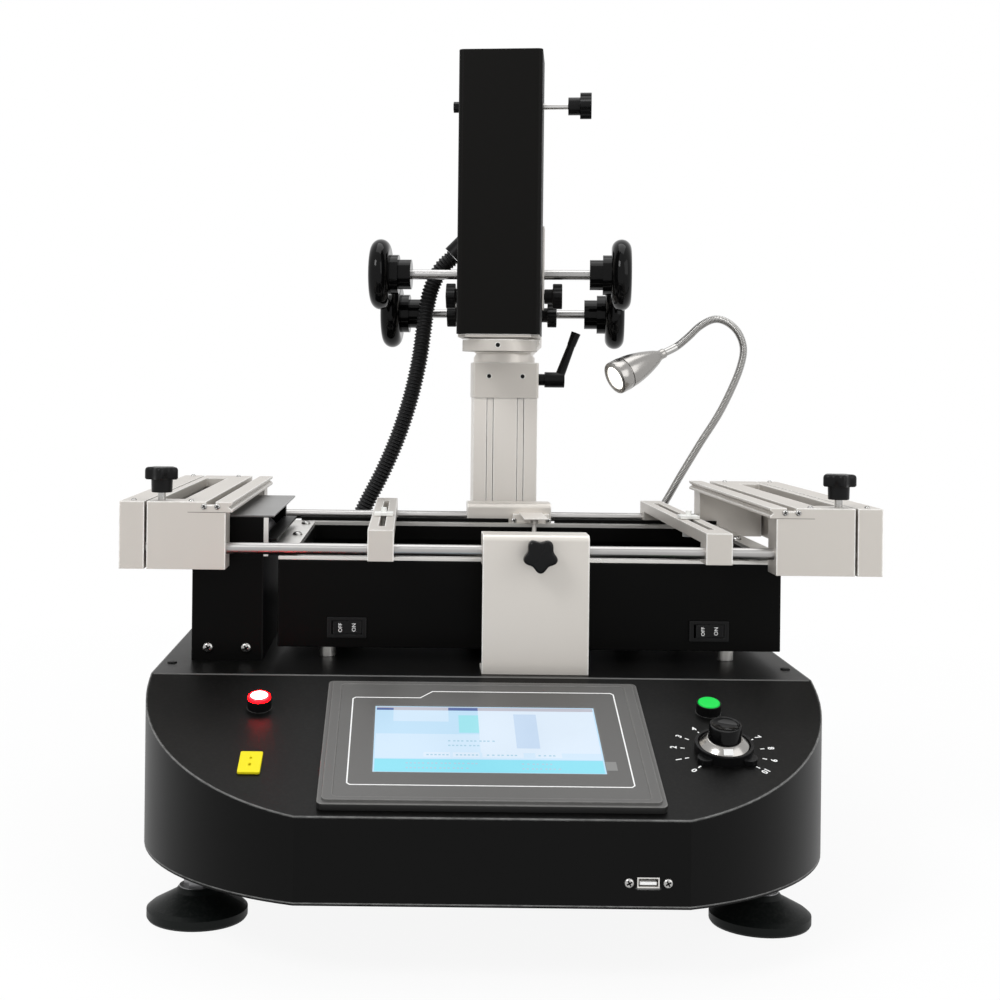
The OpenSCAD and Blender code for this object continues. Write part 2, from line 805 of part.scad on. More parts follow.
// Turret: turns on the column cap and guides the arm between two cheeks
module turret_frame() {
    color("#b9b7b1") translate([work_x, 0, 0]) difference() {
        union() {
            bar_z(0, column_y, [386, cap_top], pivot_r);
            bar_z(0, column_y, [cap_top, disc_top], 31.5);
            box([-cheek_out, cheek_out], [column_y - 32, cheek_y1], [disc_top, plate_top]);
            for (s = [-1, 1])
                box([min(s * cheek_in, s * cheek_out), max(s * cheek_in, s * cheek_out)],
                    [cheek_y0, cheek_y1], [plate_top, cheek_top]);
        }
        for (s = [-1, 1])
            translate([s * cheek_out, column_y, disc_top]) rotate([0, 45, 0])
                cube([13, 200, 13], center = true);
        box([-cheek_in - 5, cheek_in + 5], [cheek_y0 - 1, cheek_y1 + 1], tongue_z);
        bar_x([-60, 60], lower_shaft[0], lower_shaft[1], lower_shaft_r + run);
        bar_x([-60, 60], y_lock_at[0], y_lock_at[1], lock_r + run);
    }
}

// Air manifold on the turret with a slanted spigot for the hose
module air_manifold() {
    color("#202124") {
        difference() {
            box([work_x - cheek_out, work_x + cheek_out], [manifold_y0, cheek_y1],
                [cheek_top, manifold_z1]);
            for (i = [0:5])
                translate([work_x - 20 + i * 8, cheek_y1, 530]) cube([3, 4, 40], center = true);
        }
        intersection() {
            along(spigot_at, [1, 0, 1]) cylinder(h = 60, r = spigot_r);
            box([-60, work_x - cheek_out], [manifold_y0 - 10, cheek_y1], [480, manifold_z1 + 10]);
        }
    }
}

// Shafts with a pinion, one across the turret and one across the arm
wheel_at_y = 85.5;
wheel_at_z = 90.5;
shaft_x = work_x - 3.5;
module pinion_shaft(at, r, wheel_at) {
    half = wheel_at + wheel_bore - 0.5;
    bar_x([shaft_x - half, shaft_x + half], at[0], at[1], r);
    translate([work_x + gear_x0, at[0], at[1]]) rotate([0, 90, 0]) children();
}
module wheel_pair(at, r, wheel_at) {
    for (s = [0, 1])
        translate([shaft_x, at[0], at[1]]) mirror([s, 0, 0])
            translate([wheel_at, 0, 0]) rotate([0, 90, 0]) handwheel(r);
}
module y_shaft() {
    color("#d0d1d3") pinion_shaft(lower_shaft, lower_shaft_r, wheel_at_y)
        rotate(180) pinion(gear_x1 - gear_x0);
}
module y_wheels() { color("#0f0f10") wheel_pair(lower_shaft, lower_shaft_r, wheel_at_y); }
module z_shaft() {
    color("#d0d1d3") pinion_shaft(upper_shaft, upper_shaft_r, wheel_at_z)
        rotate(-90) pinion(gear_x1 - gear_x0);
}
module z_wheels() { color("#0f0f10") wheel_pair(upper_shaft, upper_shaft_r, wheel_at_z); }

// Arm: toothed beam with tongues, and an upright that guides the head
module arm_beam() {
    side = cheek_in - slip;
    tongue = cheek_in + 5 - slip;
    pitch = PI * gear_m;
    teeth_back = floor((arm_rear - lower_shaft[0]) / pitch) - 1;
    color("#bdbbb5") translate([work_x, 0, 0]) difference() {
        union() {
            box([-side, side], [607, arm_rear], [arm_z0, arm_z1]);
            box([-tongue, tongue], [cheek_y0 - 8, arm_rear],
                [tongue_z[0] + slip, tongue_z[1] - slip]);
            translate([gear_x0, lower_shaft[0], lower_shaft[1] + gear_r])
                rotate([90, 0, 90]) mirror([0, 1, 0]) rack_teeth(-6, teeth_back, gear_x1 - gear_x0);
            box([-upright_out, upright_out], [607, upright_y1], upright_z);
            for (x = [[-upright_out, -upright_in], [upright_in, upright_out]])
                box(x, [upright_y0, upright_y1], upright_z);
            for (z = [[466, 484], [515, 533]])
                box([-13, 12], [plate_y1 + slip, 610], z);
        }
        box([-rail_w / 2 - slip, rail_w / 2 + slip], [plate_y1 - 1, rail_y1 + slip], [400, 600]);
        bar_x([-60, 60], upper_shaft[0], upper_shaft[1], upper_shaft_r + run);
        bar_x([gear_x0 - 1, gear_x1 + 1], upper_shaft[0], upper_shaft[1], gear_r + gear_m + 1);
        bar_x([-60, 60], z_lock_at[0], z_lock_at[1], lock_r + run);
    }
}

// Lock screws that cross the cheeks, with a star knob at each end; hubs left and right
module lock_screw(at, half, hubs) {
    bar_x([work_x - half, work_x + half], at[0], at[1], lock_r);
    for (s = [0, 1])
        translate([work_x, at[0], at[1]]) mirror([1 - s, 0, 0]) translate([half, 0, 0])
            rotate([0, 90, 0]) star_knob(knob_r, 7.5, hubs[s], 9.5, lock_r, 1);
}
module y_lock() { color("#171718") lock_screw(y_lock_at, cheek_out + 0.5, [13, 6.5]); }
module z_lock() { color("#171718") lock_screw(z_lock_at, upright_out + 0.5, [7, 8.5]); }

// Head: sheet cover, slide plate with rail and rack, heater and nozzle ring
module head_outline(inset) {
    head_d = head_y1 - head_y0;
    translate([0, head_y0 + head_d / 2])
        rounded_rect(head_w - 2 * inset, head_d - 2 * inset, 5 - inset);
}
module head_cover() {
    color("#1c1a19") translate([work_x, 0, head_z0]) difference() {
        linear_extrude(head_h) head_outline(0);
        translate([0, 0, -1]) linear_extrude(head_h - 0.5) head_outline(1.5);
        bar_x([-60, 60], head_axis_y, cover_rod_z - head_z0, lock_r + run);
    }
}
module head_plate() {
    pitch = PI * gear_m;
    low = ceil((452 - upper_shaft[1]) / pitch);
    high = floor((660 - upper_shaft[1]) / pitch);
    color("#c2c0ba") translate([work_x, 0, 0]) {
        box([-36, 36], [head_y1, plate_y1], [plate_z0, 700]);
        box([-rail_w / 2, rail_w / 2], [plate_y1, rail_y1], [446, 698]);
        box([gear_x0, gear_x1], [plate_y1, rack_y - 1.25 * gear_m], [446, 670]);
        translate([gear_x0, rack_y, upper_shaft[1]]) rotate([0, 0, 90]) rotate([90, 0, 0])
            rotate([0, 0, 90]) mirror([0, 1, 0]) rack_teeth(low, high, gear_x1 - gear_x0);
    }
}
module heater_core() {
    color("#b5b3ae") translate([work_x, head_axis_y, head_z0]) difference() {
        union() {
            cylinder(h = 180, r = 30);
            translate([0, 0, 180]) cylinder(h = 22, r1 = 30, r2 = 12);
        }
        translate([0, 0, -1]) cylinder(h = 172, r = nozzle_r - 3);
    }
}
module nozzle_ring() {
    flange_z = plate_z0 - 2;
    color("#d3d1cb") translate([work_x, 0, 0]) difference() {
        union() {
            bar_z(0, head_axis_y, [flange_z - 11, flange_z], 36.3);
            bar_z(0, head_axis_y, [flange_z, plate_z0], 29);
            box([1 - head_w / 2, head_w / 2 - 1], [head_y0 + 2, head_y1], [plate_z0, head_z0]);
        }
        bar_z(0, head_axis_y, [flange_z - 12, head_z0 + 1], nozzle_r);
        bar_y(0, [head_axis_y - 40, head_axis_y - 20], flange_z - 5.5, 2);
        for (s = [-1, 1])
            translate([s * (head_w / 2 - 1), head_y0, plate_z0]) cube([16, 20, 10], center = true);
    }
}
module cover_knob() {
    half = head_w / 2 + 1;
    knob_at = half + 23;
    color("#171718") {
        bar_x([work_x - half - 3, work_x + knob_at], head_axis_y, cover_rod_z, lock_r);
        translate([work_x - half - 6.5, head_axis_y, cover_rod_z]) rotate([0, 90, 0])
            cylinder(h = 6, r = 5.5, $fn = 6);
        translate([work_x + knob_at, head_axis_y, cover_rod_z]) rotate([0, 90, 0])
            star_knob(knob_r, 8.6, 11.5, 11, lock_r, 1);
    }
}

// Board table: rods, end beams, clamp carriages and support bars
table_x0 = table_x - table_w / 2;
table_x1 = table_x + table_w / 2;
module guide_rods() {
    color("#d6d7d9")
        for (y = [front_rod_y, rear_rod_y])
            bar_x([table_x0 + beam_w - 12, table_x1 - beam_w + 12], y, rod_z, rod_r);
}
module end_beams() {
    color("#cbc8c1") difference() {
        for (x = [table_x0, table_x1 - beam_w])
            box([x, x + beam_w], [table_y0, table_y1], [table_z0, table_z1]);
        for (y = [front_rod_y, rear_rod_y])
            bar_x([table_x0 + beam_w - 12, table_x1 - beam_w + 12], y, rod_z, rod_r);
    }
}

// Clamp carriage drawn for the left side: two bored blocks under a broad plank with a
// window, and a narrow plank with a V groove; a stop closes the slot between them
knob_in = 9;
knob_y = 209;
knob_lift = 6;
jaw_w = 12.7;
jaw_slot = 7.3;
window_x = [6, 25];
window_y1 = 500;
module carriage() {
    x0 = table_x0 + beam_w + beam_gap;
    x1 = x0 + carriage_w;
    slot_x0 = x1 - jaw_w - jaw_slot;
    plank_z = [table_z1 - plank_h, table_z1];
    difference() {
        union() {
            for (y = [table_y0, table_y1 - block_l])
                box([x0, x1 - 5], [y, y + block_l], [table_z0, plank_z[0] + 1]);
            box([x0, slot_x0], [table_y0, table_y1], plank_z);
            box([x1 - jaw_w, x1], [table_y0, table_y1], plank_z);
            box([slot_x0 - 1, x1 - jaw_w + 1], [table_y0, table_y0 + 9],
                [plank_z[0], table_z1 - 2.5]);
        }
        box([x0 + window_x[0], x0 + window_x[1]], [table_y0 + block_l, window_y1],
            [plank_z[0] - 1, table_z1 + 1]);
        for (y = [front_rod_y, rear_rod_y])
            bar_x([x0 - 1, x1 + 1], y, rod_z, rod_r + run);
        translate([x1, table_y0 - 1, table_z1 - plank_h / 2]) rotate([-90, 0, 0])
            linear_extrude(table_y1 - table_y0 + 2) polygon([[1, -2.7], [-2.7, 0], [1, 2.7]]);
        bar_z(x0 + knob_in, knob_y, [table_z1 - 22, table_z1 + 1], lock_r + run);
    }
}
module carriage_knob() {
    translate([table_x0 + beam_w + beam_gap + knob_in, knob_y, table_z1 + knob_lift])
        star_knob(knob_r, 8.3, 10, 9.5, lock_r, knob_lift + 14);
}
module right_side() { translate([2 * table_x, 0, 0]) mirror([1, 0, 0]) children(); }
module left_carriage() { color("#cbc8c1") carriage(); }
module right_carriage() { color("#cbc8c1") right_side() carriage(); }
module left_knob() { color("#161617") carriage_knob(); }
module right_knob() { color("#161617") right_side() carriage_knob(); }
module bracket_knob() {
    color("#161617") translate([work_x + 2, bracket_front - 3, rod_z]) rotate([90, 0, 0])
        star_knob(knob_r, 8, 8, 9, lock_r, 3 + front_rod_y - bracket_front - rod_r - 0.3);
}

// Support bar across the rods, with a long slot for its pin
bar_z0 = 252;
bar_z1 = 276;
bar_block = 24;
pin_y = 330;
module support_bar(x) {
    y0 = front_rod_y - 9;
    y1 = rear_rod_y + 9;
    difference() {
        union() {
            box([x - bar_w / 2, x + bar_w / 2], [y0, y1], [bar_z1 - 9, bar_z1]);
            for (y = [y0, y1 - bar_block])
                box([x - bar_w / 2, x + bar_w / 2], [y, y + bar_block], [bar_z0, bar_z1]);
        }
        for (y = [front_rod_y, rear_rod_y])
            bar_x([x - bar_w, x + bar_w], y, rod_z, rod_r + run);
        box([x - 2.5, x + 2.5], [y0 + bar_block + 10, y1 - bar_block - 10], [bar_z0, bar_z1 + 1]);
    }
}
module support_pin(x) {
    box([x - 8, x + 8], [pin_y - 9, pin_y + 9], [bar_z1 + slip, bar_z1 + 3]);
    bar_z(x, pin_y, [bar_z1 - 12, bar_z1 + 1], 2.5 - slip);
    bar_z(x, pin_y, [bar_z1 + 3, bar_z1 + 7], 2.5);
    bar_z(x, pin_y, [bar_z1 - 15, bar_z1 - 9 - slip], 5);
}
module left_bar() { color("#d0cdc7") support_bar(left_bar_x); }
module right_bar() { color("#d0cdc7") support_bar(right_bar_x); }
module left_pin() { color("#eeeeea") support_pin(left_bar_x); }
module right_pin() { color("#eeeeea") support_pin(right_bar_x); }

// Moves a piece from the base's own frame to the machine's origin
module placed() { translate(origin) children(); }

placed() base_shell();
placed() base_pan();
placed() power_inlet();
placed() levelling_feet();
placed() panel_bezel();
placed() panel_screen();
placed() button_bodies();
placed() thermocouple_jack();
placed() airflow_dial();
placed() usb_port();
placed() electronics();
placed() heater_tray();
placed() heater_rim();
placed() heater_standoffs();
placed() ir_tiles();
placed() lower_nozzle();
placed() switch_bodies();
placed() left_rocker();
placed() right_rocker();
placed() fan_housing();
placed() fan_lid();
placed() fan_impeller();
placed() rod_brackets();
placed() support_arm();
placed() column();
placed() column_cap();
placed() hose();
placed() hose_gland();
placed() lamp_neck();
placed() lamp_head();
placed() lamp_lens();
placed() swivelled() turret_frame();
placed() swivelled() air_manifold();
placed() swivelled() y_shaft();
placed() swivelled() y_wheels();
placed() swivelled() arm_beam();
placed() swivelled() z_shaft();
placed() swivelled() z_wheels();
placed() swivelled() head_cover();
placed() swivelled() head_plate();
placed() swivelled() heater_core();
placed() swivelled() nozzle_ring();
placed() guide_rods();
placed() end_beams();
placed() left_carriage();
placed() right_carriage();
placed() left_bar();
placed() right_bar();
placed() left_pin();
placed() right_pin();
placed() left_knob();
placed() right_knob();
placed() bracket_knob();
placed() swivelled() y_lock();
placed() swivelled() z_lock();
placed() swivelled() cover_knob();
placed() clamp_lever();
placed() red_button();
placed() green_button();
placed() airflow_knob();
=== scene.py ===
import bpy
import bmesh
import math
from mathutils import Matrix, Vector


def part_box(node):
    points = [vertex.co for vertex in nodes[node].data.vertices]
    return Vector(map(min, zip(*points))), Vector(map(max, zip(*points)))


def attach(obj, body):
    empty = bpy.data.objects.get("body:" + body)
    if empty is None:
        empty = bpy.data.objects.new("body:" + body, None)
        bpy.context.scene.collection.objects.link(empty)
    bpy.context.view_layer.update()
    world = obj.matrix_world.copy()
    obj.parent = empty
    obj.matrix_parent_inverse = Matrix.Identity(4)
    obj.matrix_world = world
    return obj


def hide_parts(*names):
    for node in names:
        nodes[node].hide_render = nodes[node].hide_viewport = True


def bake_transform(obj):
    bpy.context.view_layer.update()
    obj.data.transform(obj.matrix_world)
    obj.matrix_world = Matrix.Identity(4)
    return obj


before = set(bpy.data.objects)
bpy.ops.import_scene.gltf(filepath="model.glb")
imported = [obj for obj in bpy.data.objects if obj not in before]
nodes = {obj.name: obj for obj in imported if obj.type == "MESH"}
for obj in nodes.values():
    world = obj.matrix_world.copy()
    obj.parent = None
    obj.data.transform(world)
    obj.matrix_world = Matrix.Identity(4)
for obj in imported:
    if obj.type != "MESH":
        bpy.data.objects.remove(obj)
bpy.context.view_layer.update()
scene = bpy.context.scene
print("frame loaded:", len(nodes), "nodes")

# Places below are in millimetres from the middle of the housing's front edge
layout = {
    "shiftX": 14.5, "shiftY": 399.0,
    "slopeZ": 110.0, "slopeRise": 58.0, "slopeRun": 179.0,
    "pivot": (41.0, 630.0), "swivel": 6.0,
}
slopeAngle = math.atan2(layout["slopeRise"], layout["slopeRun"])
swing = math.radians(layout["swivel"])
acrossHead = Vector((math.cos(swing), -math.sin(swing), 0))
slopeNormal = Vector((0, -math.sin(slopeAngle), math.cos(slopeAngle)))


def spot(x, y, z):
    return Vector((x - layout["shiftX"], y - layout["shiftY"], z)) / 1000


def slopeFrame(x, up, lift=0.0):  # a place on the sloped panel, Z along its normal
    c, s = math.cos(slopeAngle), math.sin(slopeAngle)
    point = spot(x, up * c - lift * s, layout["slopeZ"] + up * s + lift * c)
    return Matrix.Translation(point) @ Matrix.Rotation(slopeAngle, 4, "X")


def turnedSpot(x, y, z):  # a place on the turret, given as if the turret stood straight
    px, py = layout["pivot"]
    c, s = math.cos(swing), math.sin(swing)
    return spot(px + (x - px) * c + (y - py) * s, py - (x - px) * s + (y - py) * c, z)


# Camera at the photograph's place
cameraSet = {
    "at": (-0.0695, -1.411, 0.385),
    "turn": (90.0, -0.63, 0.0),
    "lens": 57.06,
    "shift": (0.0888, -0.113),
}
cameraData = bpy.data.cameras.new("viewCamera")
cameraData.sensor_fit = "HORIZONTAL"
cameraData.sensor_width = 36
cameraData.lens = cameraSet["lens"]
cameraData.shift_x, cameraData.shift_y = cameraSet["shift"]
cameraData.clip_start = 0.01
camera = bpy.data.objects.new("viewCamera", cameraData)
camera.location = cameraSet["at"]
camera.rotation_euler = [math.radians(a) for a in cameraSet["turn"]]
scene.collection.objects.link(camera)
scene.camera = camera
scene.view_settings.view_transform = "Standard"
print("camera set")


# Shader tools
def nodeTree(name):
    group = bpy.data.node_groups.new(name, "ShaderNodeTree")
    return group, group.nodes.new("NodeGroupInput"), group.nodes.new("NodeGroupOutput")


def addSocket(group, name, inOut, kind="NodeSocketFloat", start=None):
    socket = group.interface.new_socket(name=name, in_out=inOut, socket_type=kind)
    if start is not None:
        socket.default_value = start


def mathNode(tree, operation, a, b=None, clamp=False):
    node = tree.nodes.new("ShaderNodeMath")
    node.operation = operation
    node.use_clamp = clamp
    for index, value in enumerate((a, b)):
        if value is None:
            continue
        if isinstance(value, (int, float)):
            node.inputs[index].default_value = value
        else:
            tree.links.new(value, node.inputs[index])
    return node.outputs[0]


def mapRange(tree, value, low, high, toLow, toHigh):
    node = tree.nodes.new("ShaderNodeMapRange")
    tree.links.new(value, node.inputs["Value"])
    for key, number in (("From Min", low), ("From Max", high), ("To Min", toLow), ("To Max", toHigh)):
        node.inputs[key].default_value = number
    return node.outputs["Result"]


def makeGrain():  # small bumps and large soft patches, stretched along an axis where it is brushed
    group, source, sink = nodeTree("surfaceGrain")
    addSocket(group, "Scale", "INPUT", start=900.0)
    addSocket(group, "Stretch", "INPUT", "NodeSocketVector", (1.0, 1.0, 1.0))
    addSocket(group, "Height", "OUTPUT")
    addSocket(group, "Patches", "OUTPUT")
    place = group.nodes.new("ShaderNodeTexCoord")
    pull = group.nodes.new("ShaderNodeVectorMath")
    pull.operation = "MULTIPLY"
    group.links.new(place.outputs["Object"], pull.inputs[0])
    group.links.new(source.outputs["Stretch"], pull.inputs[1])
    fine = group.nodes.new("ShaderNodeTexNoise")
    fine.inputs["Detail"].default_value = 4.0
    group.links.new(pull.outputs[0], fine.inputs["Vector"])
    group.links.new(source.outputs["Scale"], fine.inputs["Scale"])
    soft = group.nodes.new("ShaderNodeTexNoise")
    soft.inputs["Scale"].default_value = 14.0
    soft.inputs["Detail"].default_value = 3.0
    group.links.new(place.outputs["Object"], soft.inputs["Vector"])
    group.links.new(fine.outputs["Fac"], sink.inputs["Height"])
    group.links.new(soft.outputs["Fac"], sink.inputs["Patches"])
    return group


def makeWear():  # convex edges made brighter, broken up by noise: partly rubbed wear, partly a painted highlight along edges that catch the light; Lowest leaves out edges that look down, which get no painted highlight
    group, source, sink = nodeTree("edgeWearAndHighlight")
    addSocket(group, "Amount", "INPUT", start=0.4)
    addSocket(group, "Width", "INPUT", start=0.0016)
    addSocket(group, "Lowest", "INPUT", start=-0.12)
    addSocket(group, "Mask", "OUTPUT")
    shape = group.nodes.new("ShaderNodeNewGeometry")
    split = group.nodes.new("ShaderNodeSeparateXYZ")
    softened = group.nodes.new("ShaderNodeBevel")
    softened.samples = 6
    group.links.new(source.outputs["Width"], softened.inputs["Radius"])
    group.links.new(softened.outputs["Normal"], split.inputs[0])
    bend = group.nodes.new("ShaderNodeVectorMath")
    bend.operation = "DOT_PRODUCT"
    group.links.new(softened.outputs["Normal"], bend.inputs[0])
    group.links.new(shape.outputs["Normal"], bend.inputs[1])
    place = group.nodes.new("ShaderNodeTexCoord")
    breakUp = group.nodes.new("ShaderNodeTexNoise")
    breakUp.inputs["Scale"].default_value = 160.0
    breakUp.inputs["Detail"].default_value = 5.0
    group.links.new(place.outputs["Object"], breakUp.inputs["Vector"])
    edge = mapRange(group, bend.outputs["Value"], 0.998, 0.975, 0.0, 1.0)
    # only edges that face up get the painted highlight, as the light falls from above
    above = mathNode(group, "SUBTRACT", split.outputs["Z"], source.outputs["Lowest"])
    upper = mathNode(group, "MULTIPLY", above, 10.0, True)
    edge = mathNode(group, "MULTIPLY", edge, upper)
    convex = mapRange(group, shape.outputs["Pointiness"], 0.47, 0.5, 0.0, 1.0)
    patchy = mapRange(group, breakUp.outputs["Fac"], 0.35, 0.6, 0.6, 1.0)
    rubbedAndLit = mathNode(group, "MULTIPLY", mathNode(group, "MULTIPLY", edge, convex), patchy)
    group.links.new(mathNode(group, "MULTIPLY", rubbedAndLit, source.outputs["Amount"], True), sink.inputs["Mask"])
    return group


def makeDust():  # thin dust on faces that look up
    group, source, sink = nodeTree("settledDust")
    addSocket(group, "Amount", "INPUT", start=0.1)
    addSocket(group, "Mask", "OUTPUT")
    shape = group.nodes.new("ShaderNodeNewGeometry")
    split = group.nodes.new("ShaderNodeSeparateXYZ")
    group.links.new(shape.outputs["Normal"], split.inputs[0])
    place = group.nodes.new("ShaderNodeTexCoord")
    specks = group.nodes.new("ShaderNodeTexNoise")
    specks.inputs["Scale"].default_value = 420.0
    specks.inputs["Detail"].default_value = 6.0
    group.links.new(place.outputs["Object"], specks.inputs["Vector"])
    upward = mapRange(group, split.outputs["Z"], 0.7, 1.0, 0.0, 1.0)
    sparse = mapRange(group, specks.outputs["Fac"], 0.45, 0.75, 0.0, 1.0)
    lying = mathNode(group, "MULTIPLY", upward, sparse)
    group.links.new(mathNode(group, "MULTIPLY", lying, source.outputs["Amount"], True), sink.inputs["Mask"])
    return group


def makeBand():  # one where the place along an axis lies between two limits
    group, source, sink = nodeTree("bandMask")
    addSocket(group, "Axis", "INPUT", "NodeSocketVector", (0.0, 0.0, 1.0))
    addSocket(group, "Low", "INPUT")
    addSocket(group, "High", "INPUT")
    addSocket(group, "Mask", "OUTPUT")
    place = group.nodes.new("ShaderNodeTexCoord")
    along = group.nodes.new("ShaderNodeVectorMath")
    along.operation = "DOT_PRODUCT"
    group.links.new(place.outputs["Object"], along.inputs[0])
    group.links.new(source.outputs["Axis"], along.inputs[1])
    above = mathNode(group, "GREATER_THAN", along.outputs["Value"], source.outputs["Low"])
    below = mathNode(group, "LESS_THAN", along.outputs["Value"], source.outputs["High"])
    group.links.new(mathNode(group, "MULTIPLY", above, below), sink.inputs["Mask"])
    return group


grainGroup, wearAndHighlightGroup, dustGroup, bandGroup = makeGrain(), makeWear(), makeDust(), makeBand()
finishes = {}


def placeGroup(tree, group, **values):
    node = tree.nodes.new("ShaderNodeGroup")
    node.node_tree = group
    for key, value in values.items():
        node.inputs[key].default_value = value
    return node


def mixColors(tree, mask, a, b):
    node = tree.nodes.new("ShaderNodeMix")
    node.data_type = "RGBA"
    if isinstance(mask, (int, float)):
        node.inputs[0].default_value = mask
    else:
        tree.links.new(mask, node.inputs[0])
    for socket, value in ((node.inputs[6], a), (node.inputs[7], b)):
        if isinstance(value, tuple):
            socket.default_value = (*value, 1.0)
        else:
            tree.links.new(value, socket)
    return node.outputs[2]


def mixNumbers(tree, mask, a, b):
    node = tree.nodes.new("ShaderNodeMix")
    node.data_type = "FLOAT"
    tree.links.new(mask, node.inputs[0])
    for socket, value in ((node.inputs[2], a), (node.inputs[3], b)):
        if isinstance(value, (int, float)):
            socket.default_value = value
        else:
            tree.links.new(value, socket)
    return node.outputs[0]


def makeFinish(name, color, rough, metal=0.0, vary=0.1, roughVary=0.06, grain=900.0, bump=0.12,
               stretch=(1.0, 1.0, 1.0), wearAndHighlight=0.0, wearAndHighlightColor=(0.3, 0.3, 0.31), wearAndHighlightWidth=1.6, wearAndHighlightLow=-0.12,
               dust=0.0, specular=0.5, glow=0.0, glowOnly=False, band=None, lathed=None):
    material = bpy.data.materials.new(name)
    material.use_nodes = True
    material.diffuse_color = (*color, 1.0)
    tree = material.node_tree
    shader = tree.nodes["Principled BSDF"]
    texture = placeGroup(tree, grainGroup, Scale=grain, Stretch=stretch)
    dark = tuple(c * (1 - vary) for c in color)
    light = tuple(min(1.0, c * (1 + vary)) for c in color)
    paint = mixColors(tree, texture.outputs["Patches"], dark, light)
    shine = mapRange(tree, texture.outputs["Patches"], 0.3, 0.7, rough - roughVary, rough + roughVary)
    metalness = None
    # edge colour: partly rubbed wear, partly a painted highlight on the edges
    if wearAndHighlight:
        rubbedAndLit = placeGroup(tree, wearAndHighlightGroup, Amount=wearAndHighlight, Width=wearAndHighlightWidth / 1000, Lowest=wearAndHighlightLow)
        rubbedAndLit = rubbedAndLit.outputs["Mask"]
        paint = mixColors(tree, rubbedAndLit, paint, wearAndHighlightColor)
    if dust:
        lying = placeGroup(tree, dustGroup, Amount=dust).outputs["Mask"]
        paint = mixColors(tree, lying, paint, (0.42, 0.41, 0.39))
    if band:  # a second finish between two places along an axis of the same piece
        limits = {key: band[key] for key in ("Axis", "Low", "High")}
        mask = placeGroup(tree, bandGroup, **limits).outputs["Mask"]
        paint = mixColors(tree, mask, paint, band["color"])
        shine = mixNumbers(tree, mask, shine, band["rough"])
        metalness = mixNumbers(tree, mask, metal, band["metal"])
    if glowOnly:
        shader.inputs["Base Color"].default_value = (0.0, 0.0, 0.0, 1.0)
    else:
        tree.links.new(paint, shader.inputs["Base Color"])
    tree.links.new(shine, shader.inputs["Roughness"])
    if metalness is None:
        shader.inputs["Metallic"].default_value = metal
    else:
        tree.links.new(metalness, shader.inputs["Metallic"])
    shader.inputs["Specular IOR Level"].default_value = specular
    if bump:
        relief = tree.nodes.new("ShaderNodeBump")
        relief.inputs["Strength"].default_value = bump
        relief.inputs["Distance"].default_value = 0.0004
        tree.links.new(texture.outputs["Height"], relief.inputs["Height"])
        tree.links.new(relief.outputs["Normal"], shader.inputs["Normal"])
    if lathed:  # fine turning marks round an axis spread the reflections along it
        around = tree.nodes.new("ShaderNodeTangent")
        around.direction_type = "RADIAL"
        around.axis = lathed
        tree.links.new(around.outputs["Tangent"], shader.inputs["Tangent"])
        shader.inputs["Anisotropic"].default_value = 0.6
        shader.inputs["Anisotropic Rotation"].default_value = 0.25
    if glow:
        tree.links.new(paint, shader.inputs["Emission Color"])
        shader.inputs["Emission Strength"].default_value = glow
    finishes[name] = material
    return material


def steelBetween(axis, middle, low, high):  # a band of bare steel, limits in mm from a place
    at = Vector(axis).dot(middle)
    return dict(Axis=tuple(axis), Low=at + low / 1000, High=at + high / 1000,
                color=(0.62, 0.61, 0.6), rough=0.22, metal=1.0)
